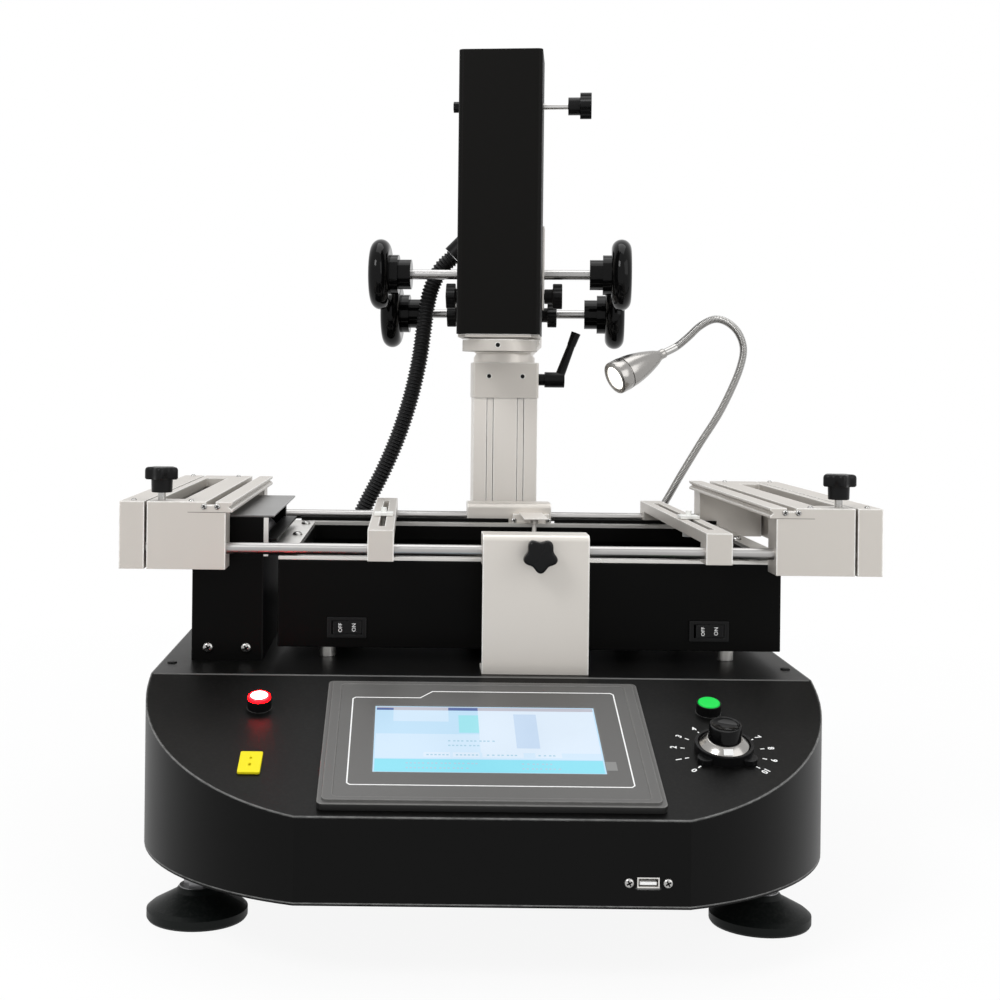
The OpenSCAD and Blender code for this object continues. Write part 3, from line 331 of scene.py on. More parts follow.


# the near-white edge colour of the alloy parts is a painted highlight on their edges
alloy = dict(rough=0.42, metal=0.5, vary=0.01, roughVary=0.015, grain=2600.0, bump=0.012, wearAndHighlight=1.0,
             wearAndHighlightColor=(0.93, 0.92, 0.89))
finishSet = {
    # the pale edge colour of the black coat is a painted highlight along its bends and upper edges
    "blackCoat": dict(color=(0.0016, 0.0016, 0.00155), rough=0.38, vary=0.03, roughVary=0.015, grain=1500.0,
                      bump=0.03, specular=0.1, wearAndHighlight=1.0, wearAndHighlightColor=(0.2, 0.2, 0.195), wearAndHighlightWidth=2.0, wearAndHighlightLow=0.08,
                      dust=0.01),
    "trayCoat": dict(color=(0.0014, 0.00135, 0.0012), rough=0.4, vary=0.03, roughVary=0.015, grain=1500.0,
                     bump=0.03, specular=0.065, wearAndHighlight=0.4, wearAndHighlightColor=(0.03, 0.03, 0.03)),
    # grey of the strip painted as the highlight along the bend between deck and slope
    "bendHighlight": dict(color=(0.09, 0.09, 0.088), rough=0.4),
    "headCoat": dict(color=(0.003, 0.0027, 0.0023), rough=0.46, vary=0.03, roughVary=0.015, grain=2200.0,
                     bump=0.05, specular=0.08, wearAndHighlight=0.4, wearAndHighlightColor=(0.05, 0.048, 0.045)),
    "lidCoat": dict(color=(0.1, 0.098, 0.094), rough=0.32, vary=0.03, roughVary=0.02, grain=1300.0, bump=0.03,
                    specular=0.5, wearAndHighlight=0.5),
    "darkCoat": dict(color=(0.004, 0.004, 0.0042), rough=0.4, vary=0.04, grain=1500.0, bump=0.04, specular=0.1,
                     wearAndHighlight=0.4, wearAndHighlightColor=(0.05, 0.05, 0.052)),
    # three tones of one anodised finish: the lighter bracket and column copies are painted light, making up for
    # less light reaching the brackets, cap, column and turret
    "anodised": dict(alloy, color=(0.54, 0.508, 0.468)),
    "bracketAlloyPaintedLight": dict(alloy, color=(0.63, 0.595, 0.55)),
    "columnAlloyPaintedLight": dict(alloy, color=(0.78, 0.74, 0.69)),
    "stainless": dict(color=(0.68, 0.665, 0.635), rough=0.32, metal=0.8, vary=0.03, grain=260.0,
                      stretch=(0.6, 14.0, 14.0), bump=0.05, wearAndHighlight=0.3, wearAndHighlightColor=(0.85, 0.84, 0.82)),
    "chrome": dict(color=(0.4, 0.395, 0.39), rough=0.26, metal=1.0, vary=0.03, roughVary=0.02, grain=700.0,
                   bump=0.0, lathed="X"),
    "groundRod": dict(color=(0.38, 0.373, 0.366), rough=0.32, metal=1.0, vary=0.02, roughVary=0.02,
                      grain=400.0, bump=0.0, lathed="X"),
    "nickel": dict(color=(0.32, 0.31, 0.297), rough=0.22, metal=1.0, vary=0.04, roughVary=0.04,
                   grain=900.0, bump=0.02),
    "woundSteel": dict(color=(0.36, 0.355, 0.345), rough=0.2, metal=1.0, vary=0.05, roughVary=0.03,
                       grain=900.0, bump=0.02),
    "screwSteel": dict(color=(0.42, 0.415, 0.405), rough=0.26, metal=1.0, vary=0.05, grain=1500.0, bump=0.06),
    "knobBlack": dict(color=(0.0045, 0.0045, 0.0047), rough=0.3, vary=0.05, grain=900.0, bump=0.08, specular=0.14,
                      wearAndHighlight=0.25, wearAndHighlightColor=(0.04, 0.04, 0.042)),
    "wheelBlack": dict(color=(0.003, 0.003, 0.0031), rough=0.08, vary=0.05, roughVary=0.02, grain=300.0, bump=0.02,
                       specular=0.13),
    "footRubber": dict(color=(0.005, 0.0065, 0.006), rough=0.48, grain=800.0, bump=0.15, specular=0.15,
                       dust=0.04, band=dict(Axis=(0, 0, 1), Low=0.0225, High=0.06, color=(0.2, 0.2, 0.205),
                                            rough=0.3, metal=1.0)),
    "hoseBlack": dict(color=(0.008, 0.008, 0.0084), rough=0.4, grain=700.0, bump=0.08, specular=0.2,
                      wearAndHighlight=0.3, wearAndHighlightColor=(0.03, 0.03, 0.031)),
    # bezel in two greys: its face's lighter grey is a painted sheen and the darker band over its sides is painted
    # shade; its pale edge colour is a painted highlight
    "panelGreyWithSheenAndShade": dict(color=(0.075, 0.073, 0.07), rough=0.36, vary=0.03, roughVary=0.02, grain=1900.0, bump=0.03,
                      specular=0.45, wearAndHighlight=0.5, wearAndHighlightColor=(0.2, 0.198, 0.19),
                      band=dict(steelBetween(slopeNormal, slopeFrame(0, 0).translation, -60, 4.6),
                                color=(0.012, 0.0118, 0.0115), rough=0.42, metal=0.0)),
    "controlBlack": dict(color=(0.0045, 0.0045, 0.0047), rough=0.3, vary=0.05, grain=1100.0, bump=0.06,
                         specular=0.14, wearAndHighlight=0.25, wearAndHighlightColor=(0.05, 0.05, 0.051)),
    "buttonRed": dict(color=(0.95, 0.00025, 0.0008), rough=0.2, vary=0.03, bump=0.02, glow=40.0),
    "buttonWarm": dict(color=(0.95, 0.003, 0.005), rough=0.2, vary=0.03, bump=0.02, glow=40.0),
    "buttonHot": dict(color=(0.95, 0.12, 0.12), rough=0.2, vary=0.03, bump=0.02, glow=40.0),
    "buttonGreen": dict(color=(0.0, 0.6, 0.065), rough=0.35, vary=0.03, bump=0.02, specular=0.25, glow=0.12),
    "jackYellow": dict(color=(0.8, 0.69, 0.012), rough=0.45, vary=0.03, grain=1000.0, bump=0.03, specular=0.15),
    "filmGrey": dict(color=(0.2, 0.2, 0.195), rough=0.4, vary=0.04, bump=0.02, specular=0.3),
    "ceramic": dict(color=(0.012, 0.0115, 0.011), rough=0.3, grain=500.0, bump=0.06, specular=0.3,
                    wearAndHighlight=0.9, wearAndHighlightColor=(0.22, 0.21, 0.2)),
    "circuit": dict(color=(0.09, 0.2, 0.1), rough=0.5),
    "fanGrey": dict(color=(0.2, 0.2, 0.21), rough=0.4, metal=0.8, grain=900.0),
    "pinWhite": dict(color=(0.84, 0.84, 0.81), rough=0.35, vary=0.04, bump=0.04),
    "markWhite": dict(color=(0.86, 0.86, 0.85), rough=0.5, vary=0.03, grain=2000.0, bump=0.03),
    "lensGlow": dict(color=(1.0, 0.97, 0.9), rough=0.3, vary=0.02, bump=0.03, glow=2.2),
    # black of the plugs and seams, also used as painted shade in screw recesses and holes
    "plugBlackAndRecessShade": dict(color=(0.003, 0.003, 0.0032), rough=0.5, bump=0.05, specular=0.15),
}
for key, values in finishSet.items():
    makeFinish(key, **values)
knobBlack = finishSet["knobBlack"]
makeFinish("lockScrew", **knobBlack,
           band=steelBetween(acrossHead, turnedSpot(41, 618, 470), -37.2, 37.2))
makeFinish("coverScrew", **knobBlack,
           band=steelBetween(acrossHead, turnedSpot(41, 533, 659), -41.4, 63.9))
print("finishes made:", len(finishes))

# Finish of each CAD node, with the width of its rounded edges in millimetres
nodeFinishes = {
    "blackCoat": {"base_shell": 0, "base_pan": 0},
    "trayCoat": {"heater_tray": 0.8, "fan_housing": 0},
    "headCoat": {"head_cover": 1.6},
    "lidCoat": {"fan_lid": 0.5},
    "darkCoat": {"air_manifold": 1.0},
    "bracketAlloyPaintedLight": {"rod_brackets": 0.6, "column_cap": 0.5},
    "anodised": {"end_beams": 0.6, "left_carriage": 0.6, "right_carriage": 0.6,
                 "left_bar": 0, "right_bar": 0, "arm_beam": 0, "head_plate": 0,
                 "nozzle_ring": 0.5},
    "columnAlloyPaintedLight": {"column": 0.4, "turret_frame": 0.6, "support_arm": 0.3},
    "stainless": {"heater_rim": 0.4, "lower_nozzle": 0.4, "heater_core": 0, "heater_standoffs": 0.4,
                  "usb_port": 0.3},
    "groundRod": {"guide_rods": 0.5},
    "chrome": {"y_shaft": 0, "z_shaft": 0},
    "nickel": {"lamp_head": 0},
    "lensGlow": {"lamp_lens": 0.3},
    "lockScrew": {"y_lock": 0.8, "z_lock": 0.8},
    "coverScrew": {"cover_knob": 0.8},
    "knobBlack": {"clamp_lever": 1.6, "left_knob": 1.0, "right_knob": 1.0, "bracket_knob": 1.0},
    "wheelBlack": {"y_wheels": 0.8, "z_wheels": 0.8},
    "footRubber": {"levelling_feet": 0},
    "panelGreyWithSheenAndShade": {"panel_bezel": 0.7},
    "controlBlack": {"button_bodies": 0.5, "airflow_dial": 0.5, "switch_bodies": 0, "left_rocker": 0.4,
                     "right_rocker": 0.4, "power_inlet": 0, "hose_gland": 0.6},
    "buttonRed": {"red_button": 0.5},
    "buttonGreen": {"green_button": 0.5},
    "jackYellow": {"thermocouple_jack": 0.4},
    "ceramic": {"ir_tiles": 0.6},
    "circuit": {"electronics": 0},
    "fanGrey": {"fan_impeller": 0},
    "pinWhite": {"left_pin": 0.3, "right_pin": 0.3},
    "hoseBlack": {"hose": 0},
}


def roundEdges(piece, width, segments=2, angle=35.0):
    weld = piece.modifiers.new("joinSeams", "WELD")
    weld.merge_threshold = 0.000002
    flat = piece.modifiers.new("flatFaces", "DECIMATE")
    flat.decimate_type = "DISSOLVE"
    flat.angle_limit = math.radians(0.3)
    bevel = piece.modifiers.new("roundEdges", "BEVEL")
    bevel.width = width / 1000
    bevel.segments = segments
    bevel.limit_method = "ANGLE"
    bevel.angle_limit = math.radians(angle)
    bevel.use_clamp_overlap = True
    bevel.miter_outer = "MITER_ARC"
    shade = piece.modifiers.new("evenShade", "WEIGHTED_NORMAL")
    shade.keep_sharp = False


for finishName, users in nodeFinishes.items():
    for nodeName, width in users.items():
        node = nodes[nodeName]
        node.data.materials.clear()
        node.data.materials.append(finishes[finishName])
        if width:
            roundEdges(node, width)
print("nodes finished")


# Mesh tools
def newPiece(name, bm, materials, body, sharp=35.0, replaced=()):
    mesh = bpy.data.meshes.new(name)
    bmesh.ops.recalc_face_normals(bm, faces=bm.faces[:])
    bm.to_mesh(mesh)
    bm.free()
    for key in materials:
        mesh.materials.append(finishes[key])
    for polygon in mesh.polygons:
        polygon.use_smooth = True
    mesh.set_sharp_from_angle(angle=math.radians(sharp))
    piece = bpy.data.objects.new(name, mesh)
    scene.collection.objects.link(piece)
    if replaced:
        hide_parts(*replaced)
    if body:
        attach(piece, body)
    return piece


def addLoft(bm, rings, material=0, closeStart=True, closeEnd=True):
    loops = [[bm.verts.new(p) for p in ring] for ring in rings]
    count = len(loops[0])
    for a, b in zip(loops, loops[1:]):
        for k in range(count):
            face = bm.faces.new((a[k], a[(k + 1) % count], b[(k + 1) % count], b[k]))
            face.material_index = material
    if closeStart:
        bm.faces.new(loops[0][::-1]).material_index = material
    if closeEnd:
        bm.faces.new(loops[-1]).material_index = material


def addLathe(bm, profile, place, segments=48, material=0):  # profile of (radius, height) in mm
    rings = []
    for radius, height in profile:
        ring = []
        for k in range(segments):
            a = 2 * math.pi * k / segments
            ring.append(place @ Vector((radius * math.cos(a), radius * math.sin(a), height)))
        rings.append(ring)
    addLoft(bm, rings, material)


def scaled(place):  # millimetres to metres inside a place
    return place @ Matrix.Scale(0.001, 4)


def addPrism(bm, outline, low, high, place, material=0):
    rings = [[place @ Vector((x, y, z)) for x, y in outline] for z in (low, high)]
    addLoft(bm, rings, material)


def rectangle(x0, y0, x1, y1):
    return [(x0, y0), (x1, y0), (x1, y1), (x0, y1)]


def addText(bm, text, size, place, bold=0.0):  # flat letters, centred, in mm
    curve = bpy.data.curves.new("letters", "FONT")
    curve.body = text
    curve.size = size
    curve.offset = bold
    curve.align_x = "CENTER"
    curve.align_y = "CENTER"
    curve.extrude = 0.05
    curve.resolution_u = 3
    holder = bpy.data.objects.new("letters", curve)
    scene.collection.objects.link(holder)
    bpy.context.view_layer.update()
    shape = holder.evaluated_get(bpy.context.evaluated_depsgraph_get()).to_mesh()
    start = len(bm.verts)
    bm.from_mesh(shape)
    bm.verts.ensure_lookup_table()
    for v in bm.verts[start:]:
        v.co = place @ v.co
    bpy.data.objects.remove(holder)
    bpy.data.curves.remove(curve)


def smoothRoute(points, step):  # even points along a smooth curve through the given ones
    points = [Vector(p) for p in points]
    fine = []
    for i in range(len(points) - 1):
        p0, p1 = points[max(i - 1, 0)], points[i]
        p2, p3 = points[i + 1], points[min(i + 2, len(points) - 1)]
        for k in range(40):
            t = k / 40
            fine.append(0.5 * (2 * p1 + (p2 - p0) * t + (2 * p0 - 5 * p1 + 4 * p2 - p3) * t * t
                               + (3 * p1 - p0 - 3 * p2 + p3) * t ** 3))
    fine.append(points[-1])
    total = sum((b - a).length for a, b in zip(fine, fine[1:]))
    count = max(2, round(total / step))
    even, walked, index = [fine[0]], 0.0, 0
    for n in range(1, count):
        goal = total * n / count
        while walked + (fine[index + 1] - fine[index]).length < goal:
            walked += (fine[index + 1] - fine[index]).length
            index += 1
        piece = (fine[index + 1] - fine[index]).length
        even.append(fine[index].lerp(fine[index + 1], (goal - walked) / piece))
    even.append(fine[-1])
    return even, total


def addTube(bm, route, radiusAt, segments, material=0):
    side = Vector((0, 1, 0))
    rings = []
    for i, p in enumerate(route):
        ahead = (route[min(i + 1, len(route) - 1)] - route[max(i - 1, 0)]).normalized()
        side = (side - ahead * side.dot(ahead)).normalized()
        other = ahead.cross(side)
        radius = radiusAt(i)
        rings.append([p + radius * (math.cos(a) * side + math.sin(a) * other)
                      for a in (2 * math.pi * k / segments for k in range(segments))])
    addLoft(bm, rings, material)


# Corrugated air hose from the housing to the turret
hoseSet = {"pitch": 3.6, "ringsPerPitch": 6, "outer": 8.7, "inner": 7.3, "segments": 24}
hosePoints = [
    (-123, 632, 186), (-123, 632, 200), (-115, 632, 230), (-101, 632, 262), (-83, 632, 298),
    (-68, 632, 334), (-56, 632, 372), (-47.5, 632, 410), (-43, 634, 442), (-40, 636, 466),
    (-35, 638, 488),
]
hoseEnd = [(-26, 632, 508), (-13.2, 632, 520.8)]  # in line with the turret's spigot
hoseRoute, hoseLength = smoothRoute(
    [spot(*p) for p in hosePoints] + [turnedSpot(*p) for p in hoseEnd],
    hoseSet["pitch"] / hoseSet["ringsPerPitch"] / 1000)


def hoseRadius(i):
    wave = math.sin(2 * math.pi * i / hoseSet["ringsPerPitch"])
    middle, half = (hoseSet["outer"] + hoseSet["inner"]) / 2, (hoseSet["outer"] - hoseSet["inner"]) / 2
    return (middle + half * max(-1.0, min(1.0, 1.5 * wave))) / 1000


hoseMesh = bmesh.new()
addTube(hoseMesh, hoseRoute, hoseRadius, hoseSet["segments"])
hosePiece = newPiece("airHose", hoseMesh, ["hoseBlack"], None, 60.0, ["hose"])
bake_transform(hosePiece)
print("hose made, length", round(hoseLength, 4))

# Spiral neck of the work lamp, with its socket on the housing
neckSet = {
    "pitch": 1.5, "ringsPerPitch": 4, "outer": 3.8, "inner": 3.15, "ferrule": 14.0, "segments": 18,
    "socketAt": (160, 560, 168),
    "socket": [(0.5, 0), (14, 0), (14, 5), (13.3, 6.2), (9.6, 11), (9, 12.2), (9, 17.2), (8.2, 18), (0.5, 18)],
}
neckPoints = [
    (160, 560, 186), (160, 560, 202), (168, 560, 226), (182, 560, 250), (197, 560, 272), (213, 560, 300),
    (232, 560, 332), (249.5, 560, 360), (262, 560, 385), (271, 560, 408), (274, 560, 427), (268, 559, 443),
    (256, 557, 453), (243, 554, 455), (229, 551, 448), (217, 548, 437), (205, 544, 427.5), (192, 538, 421),
]
neckRoute, neckLength = smoothRoute(
    [spot(*p) for p in neckPoints], neckSet["pitch"] / neckSet["ringsPerPitch"] / 1000)


def neckRadius(i):  # a wound spiral, with plain ferrules at both ends
    if min(i, len(neckRoute) - 1 - i) < neckSet["ferrule"] / neckSet["pitch"] * neckSet["ringsPerPitch"]:
        return neckSet["outer"] / 1000
    wave = abs(math.sin(math.pi * i / neckSet["ringsPerPitch"]))
    return (neckSet["inner"] + (neckSet["outer"] - neckSet["inner"]) * wave ** 0.5) / 1000


neckMesh = bmesh.new()
addTube(neckMesh, neckRoute, neckRadius, neckSet["segments"])
addLathe(neckMesh, neckSet["socket"], scaled(Matrix.Translation(spot(*neckSet["socketAt"]))), 48, 1)
newPiece("lampNeck", neckMesh, ["woundSteel", "nickel"], "base", 50.0, ["lamp_neck"])

# Lamp head: a smooth bullet with a separate front ring
lampSet = {
    "bullet": [(4.8, 0.6), (5, 6), (7.6, 12), (11, 22), (13.6, 32), (15.3, 42), (15.8, 49)],
    "ring": [(15.1, 49.2), (15.1, 50), (15.9, 50.1), (16.2, 50.5), (16.2, 60.6), (15.9, 61.6), (15.2, 62),
             (12, 62), (11.6, 61.6), (11.6, 58.2), (0.4, 58.2)],
    "step": 1.6,
}
lampAim = (spot(*neckPoints[-1]) - spot(*neckPoints[-2])).to_track_quat("Z", "Y").to_matrix().to_4x4()
bullet = smoothRoute([(r, h, 0) for r, h in lampSet["bullet"]], lampSet["step"])[0]
lampMesh = bmesh.new()
addLathe(lampMesh, [(0.4, 0), (4.4, 0)] + [(p.x, p.y) for p in bullet] + lampSet["ring"],
         scaled(Matrix.Translation(spot(*neckPoints[-1])) @ lampAim), 56)
newPiece("lampHead", lampMesh, ["nickel"], "base", 40.0, ["lamp_head"])
print("lamp made, neck length", round(neckLength, 4))

# Screen picture: pale fields and rows of small marks
screenSet = {"middle": 88.5, "lift": 5.5, "label": 6.0}
screenColors = {
    "screenGround": (0.52, 0.74, 0.92),
    "screenField": (0.63, 0.79, 0.94),
    "screenPale": (0.71, 0.82, 0.94),
    "screenShade": (0.56, 0.7, 0.88),
    "screenCyan": (0.26, 0.74, 0.88),
    "screenTeal": (0.34, 0.76, 0.84),
    "screenBar": (0.1, 0.15, 0.36),
    "screenRail": (0.5, 0.5, 0.58),
    "screenInk": (0.4, 0.62, 0.76),
}
for key, color in screenColors.items():
    makeFinish(key, color=color, rough=0.2, vary=0.03, roughVary=0.03, grain=60.0, bump=0.0, specular=0.3,
               glow=1.0, glowOnly=True)
screenMesh = bmesh.new()
screenPlace = scaled(slopeFrame(0, screenSet["middle"], screenSet["lift"]))
screenKeys = list(screenColors)
screenBlocks = [  # left, bottom, right, top, height and colour
    (-77, -43, 77, 43, 0.02, "screenGround"),
    (-77, 38.5, 77, 43, 0.04, "screenRail"),
    (-77, 38.5, -65, 41.5, 0.06, "screenBar"),
    (-26, 38.5, -5, 42.5, 0.06, "screenBar"),
    (-65, 23, -26, 38.5, 0.05, "screenField"),
    (-19, 8, -5, 32, 0.06, "screenTeal"),
    (-77, -26, -5, 6, 0.05, "screenField"),
    (-5, -18, 77, 38.5, 0.05, "screenPale"),
    (20, -12, 36, 34, 0.06, "screenShade"),
    (-5, -26, 77, -18, 0.05, "screenField"),
    (-44, -24, -26, -18, 0.07, "screenPale"),
    (-24, -24, -6, -18, 0.07, "screenPale"),
    (-4, -24, 24, -18, 0.07, "screenPale"),
    (32, -24, 50, -18, 0.07, "screenPale"),
    (-77, -43, 77, -27, 0.05, "screenCyan"),
]
for row, (x0, x1, y) in enumerate([(-27, 4, -3), (-27, -6, -9), (-42, -28, -21.2), (-22, -8, -21.2),
                                   (-1, 21, -21.2), (34, 47, -21.2), (-56, -6, -32), (-56, -14, -38),
                                   (22, 44, -32), (22, 48, -38)]):
    x = x0
    while x < x1:
        screenBlocks.append((x, y - 0.8, x + 1.6, y + 0.8, 0.09, "screenInk"))
        x += 2.7 + 0.9 * ((row + int(x)) % 3 == 0)
for x0, y0, x1, y1, height, key in screenBlocks:
    addPrism(screenMesh, rectangle(x0, y0, x1, y1), 0, height, screenPlace, screenKeys.index(key))
newPiece("screenPicture", screenMesh, screenKeys, "base")
nodes["panel_screen"].data.materials.clear()
nodes["panel_screen"].data.materials.append(finishes["screenGround"])
print("screen made")


# White line round the panel's label area
def addRibbon(bm, points, width, low, high, place, material=0, closed=True):
    points = [Vector(p) for p in points]
    count = len(points)
    inner, outer = [], []
    for i, p in enumerate(points):
        before = points[(i - 1) % count] if closed or i else p - (points[1] - p)
        after = points[(i + 1) % count] if closed or i < count - 1 else p + (p - points[i - 1])
        a, b = (p - before).normalized(), (after - p).normalized()
        normal = Vector((-a.y - b.y, a.x + b.x)).normalized()
        reach = width / 2 / max(0.3, normal.dot(Vector((-a.y, a.x))))
        inner.append(p + normal * reach)
        outer.append(p - normal * reach)
    for i in range(count if closed else count - 1):
        j = (i + 1) % count
        corners = [tuple(p) for p in (outer[i], outer[j], inner[j], inner[i])]
        addPrism(bm, corners, low, high, place, material)


outlineSet = {
    "half": 94.5, "bottom": -60.0, "top": 65.0, "leftTop": 55.5, "step": (-46.0, -37.0), "corner": 2,
    "width": 0.9, "height": 0.06, "filmTab": (78.2, -40.0, 85.6, -29.0), "filmHeight": 0.12,
}
lineMesh = bmesh.new()
labelPlace = scaled(slopeFrame(0, screenSet["middle"], screenSet["label"]))
half, corner = outlineSet["half"], outlineSet["corner"]
bottom, top, leftTop = outlineSet["bottom"], outlineSet["top"], outlineSet["leftTop"]
stepLow, stepHigh = outlineSet["step"]
addRibbon(lineMesh, [
    (-half + corner, bottom), (half - corner, bottom), (half, bottom + corner),
    (half, top - corner), (half - corner, top), (stepHigh, top),
    (stepLow, leftTop), (-half + corner, leftTop), (-half, leftTop - corner),
    (-half, bottom + corner),
], outlineSet["width"], 0, outlineSet["height"], labelPlace)
addPrism(lineMesh, rectangle(*outlineSet["filmTab"]), 0, outlineSet["filmHeight"], labelPlace, 1)
newPiece("panelLine", lineMesh, ["markWhite", "filmGrey"], "base")

# Ticks and numbers round the air-flow knob
dialSet = {
    "x": 163.0, "up": 84.3, "tickIn": 26.5, "tickOut": 29.5, "tickHalf": 0.5, "tickHigh": 0.08,
    "numbers": 34.0, "size": 6.2, "bold": 0.16, "sweep": 270.0,
}
dialMesh = bmesh.new()
dialPlace = scaled(slopeFrame(dialSet["x"], dialSet["up"]))
for n in range(11):
    turn = math.radians(-90 - (360 - dialSet["sweep"]) / 2 - n * dialSet["sweep"] / 10)
    radial = dialPlace @ Matrix.Rotation(turn, 4, "Z")
    tick = rectangle(dialSet["tickIn"], -dialSet["tickHalf"], dialSet["tickOut"], dialSet["tickHalf"])
    addPrism(dialMesh, tick, 0, dialSet["tickHigh"], radial)
    upright = radial @ Matrix.Translation((dialSet["numbers"], 0, 0.03)) @ Matrix.Rotation(-math.pi / 2, 4, "Z")
    addText(dialMesh, str(n), dialSet["size"], upright, dialSet["bold"])
newPiece("dialMarks", dialMesh, ["markWhite"], "base")
print("panel marks made")

# Air-flow knob: glossy black cap with a dished top on a bright cone
knobSet = {
    "cone": [(0.5, -12), (3, -12), (3, 4), (17.3, 4), (17.6, 4.3), (17.6, 6.2), (17.4, 6.6), (12.4, 10.5),
             (12, 10.7), (0.5, 10.7)],
    "cap": [(0.5, 10.6), (11.4, 10.6), (11.5, 11.2), (11.2, 12), (11.2, 20.4), (10.9, 21.2), (10.3, 21.5),
            (9.6, 21.4), (8.9, 20.9), (7.8, 20.3), (0.5, 20.2)],
    "window": (3.2, -16.8, -13.4),
}
knobMesh = bmesh.new()
addLathe(knobMesh, knobSet["cone"], dialPlace, 72)
addLathe(knobMesh, knobSet["cap"], dialPlace, 72, 1)
halfWide, outer, inner = knobSet["window"]
windowRings = [[dialPlace @ Vector((x, y, 6.6 + (17.4 + y) * 0.78 + lift)) for x, y in
                rectangle(-halfWide, outer, halfWide, inner)] for lift in (0.0, 0.35)]
addLoft(knobMesh, windowRings, 2)
newPiece("airflowKnob", knobMesh, ["nickel", "wheelBlack", "markWhite"], "airflow_knob", 40.0,
         ["airflow_knob"])
print("air-flow knob made")

# Lamp button: a lit red cap, hottest in the middle
buttonSet = {
    "buttonRed": [(0.2, -6), (4, -6), (4, 4.2), (7.9, 4.2), (7.9, 8.6), (7.6, 9.2), (7.2, 9.45), (0.2, 9.45)],
    "buttonWarm": [(0.2, 9.3), (7, 9.3), (6.8, 9.55), (0.2, 9.55)],
    "buttonHot": [(0.2, 9.4), (6.3, 9.4), (6, 9.66), (0.2, 9.75)],
}
buttonAt = (-162, 139)  # across and up the panel
buttonMesh = bmesh.new()
for zone, profile in enumerate(buttonSet.values()):
    addLathe(buttonMesh, profile, scaled(slopeFrame(*buttonAt)), 48, zone)
newPiece("lampButton", buttonMesh, list(buttonSet), "red_button", 40.0, ["red_button"])
print("lamp button made")

# Star knobs of the clamps and of the front bracket: five round lobes with a domed top
starSet = {
    "radius": 13.2, "lobe": 0.115, "stud": 3.0, "points": 80, "firstLobe": 54.0,
    "dome": [(0.93, 0.0), (1.0, 0.1), (1.0, 0.72), (0.975, 0.86), (0.92, 0.95), (0.82, 1.0), (0.1, 1.02)],
    "knobs": {"left_knob": (8.3, 10, 9.5), "right_knob": (8.3, 10, 9.5), "bracket_knob": (8, 8, 9)},
    "bracketSeat": (43, 184, 260),
}


def starRing(share, height):
    ring = []
    for k in range(starSet["points"]):
        a = 2 * math.pi * k / starSet["points"]
        wave = math.cos(5 * (a - math.radians(starSet["firstLobe"])))
        r = starSet["radius"] * share * (1 + starSet["lobe"] * (wave - 1))
        ring.append((r * math.cos(a), r * math.sin(a), height))
    return ring


for body, (hubRadius, hubHigh, starHigh) in starSet["knobs"].items():
    low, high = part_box(body)
    middle = (Vector(low) + Vector(high)) / 2
    if body == "bracket_knob":
        seatAt = spot(*starSet["bracketSeat"])
        seat = scaled(Matrix.Translation(seatAt) @ Matrix.Rotation(math.pi / 2, 4, "X"))
        studLong = (high[1] - seatAt.y) * 1000
    else:
        seat = scaled(Matrix.Translation((middle.x, middle.y, high[2] - (hubHigh + starHigh) / 1000)))
        studLong = (high[2] - low[2]) * 1000 - hubHigh - starHigh
    starMesh = bmesh.new()
    addLathe(starMesh, [(0.1, 0), (hubRadius - 0.8, 0), (hubRadius - 0.3, 0.5), (hubRadius, hubHigh),
                        (0.1, hubHigh)], seat)
    addLoft(starMesh, [[seat @ Vector(p) for p in starRing(share, hubHigh + rise * starHigh)]
                       for share, rise in starSet["dome"]])
    stud = starSet["stud"]
    addLathe(starMesh, [(0.1, -studLong), (stud, -studLong), (stud, 0.2), (0.1, 0.2)], seat, 32, 1)
    newPiece(body + "Star", starMesh, ["knobBlack", "screwSteel"], body, 40.0, [body])
print("star knobs made")

# Words on the rockers
rockerSet = {
    "tilt": 8.0, "face": 8.06, "size": 4.2, "reach": 5.8, "front": -2.42, "y": 246, "z": 194,
    "x": {"left_rocker": -104, "right_rocker": 183},
}
for body, x in rockerSet["x"].items():
    wordMesh = bmesh.new()
    middle = Matrix.Translation(spot(x, rockerSet["y"], rockerSet["z"]))
    turned = middle @ Matrix.Rotation(math.radians(rockerSet["tilt"]), 4, "Z")
    for word, side in (("OFF", -1), ("ON", 1)):
        face = turned @ Matrix.Rotation(math.radians(-side * rockerSet["face"]), 4, "Z")
        place = scaled(face) @ Matrix.Translation((side * rockerSet["reach"], rockerSet["front"], 0))
        place = place @ Matrix.Rotation(math.pi / 2, 4, "X") @ Matrix.Rotation(math.pi / 2, 4, "Z")
        addText(wordMesh, word, rockerSet["size"], place, 0.05)
    newPiece(body + "Words", wordMesh, ["markWhite"], body)

# Small screws: pan heads with a black cross painted as the shade in their cross recess
screwSet = {"radius": 4.2, "height": 2.6, "slot": 0.16, "slotReach": 0.6, "turn": 0.5}


def addScrew(bm, point, facing, radius, material=0, dark=1):
    aim = Vector((0, 0, 1)).rotation_difference(Vector(facing)).to_matrix().to_4x4()
    place = scaled(Matrix.Translation(point) @ aim)
    high = radius * screwSet["height"] / screwSet["radius"]
    addLathe(bm, [(0.05, 0), (radius, 0), (radius, high * 0.35), (radius * 0.86, high * 0.75),
                  (radius * 0.55, high), (0.05, high * 1.04)], place, 24, material)
    slot, reach = radius * screwSet["slot"], radius * screwSet["slotReach"]
    for turn in (0, math.pi / 2):
        spun = place @ Matrix.Rotation(turn + screwSet["turn"], 4, "Z")
        # black cross painted as the shade in the screw's recess
        addPrism(bm, rectangle(-reach, -slot, reach, slot), high * 0.9, high * 1.06, spun, dark)


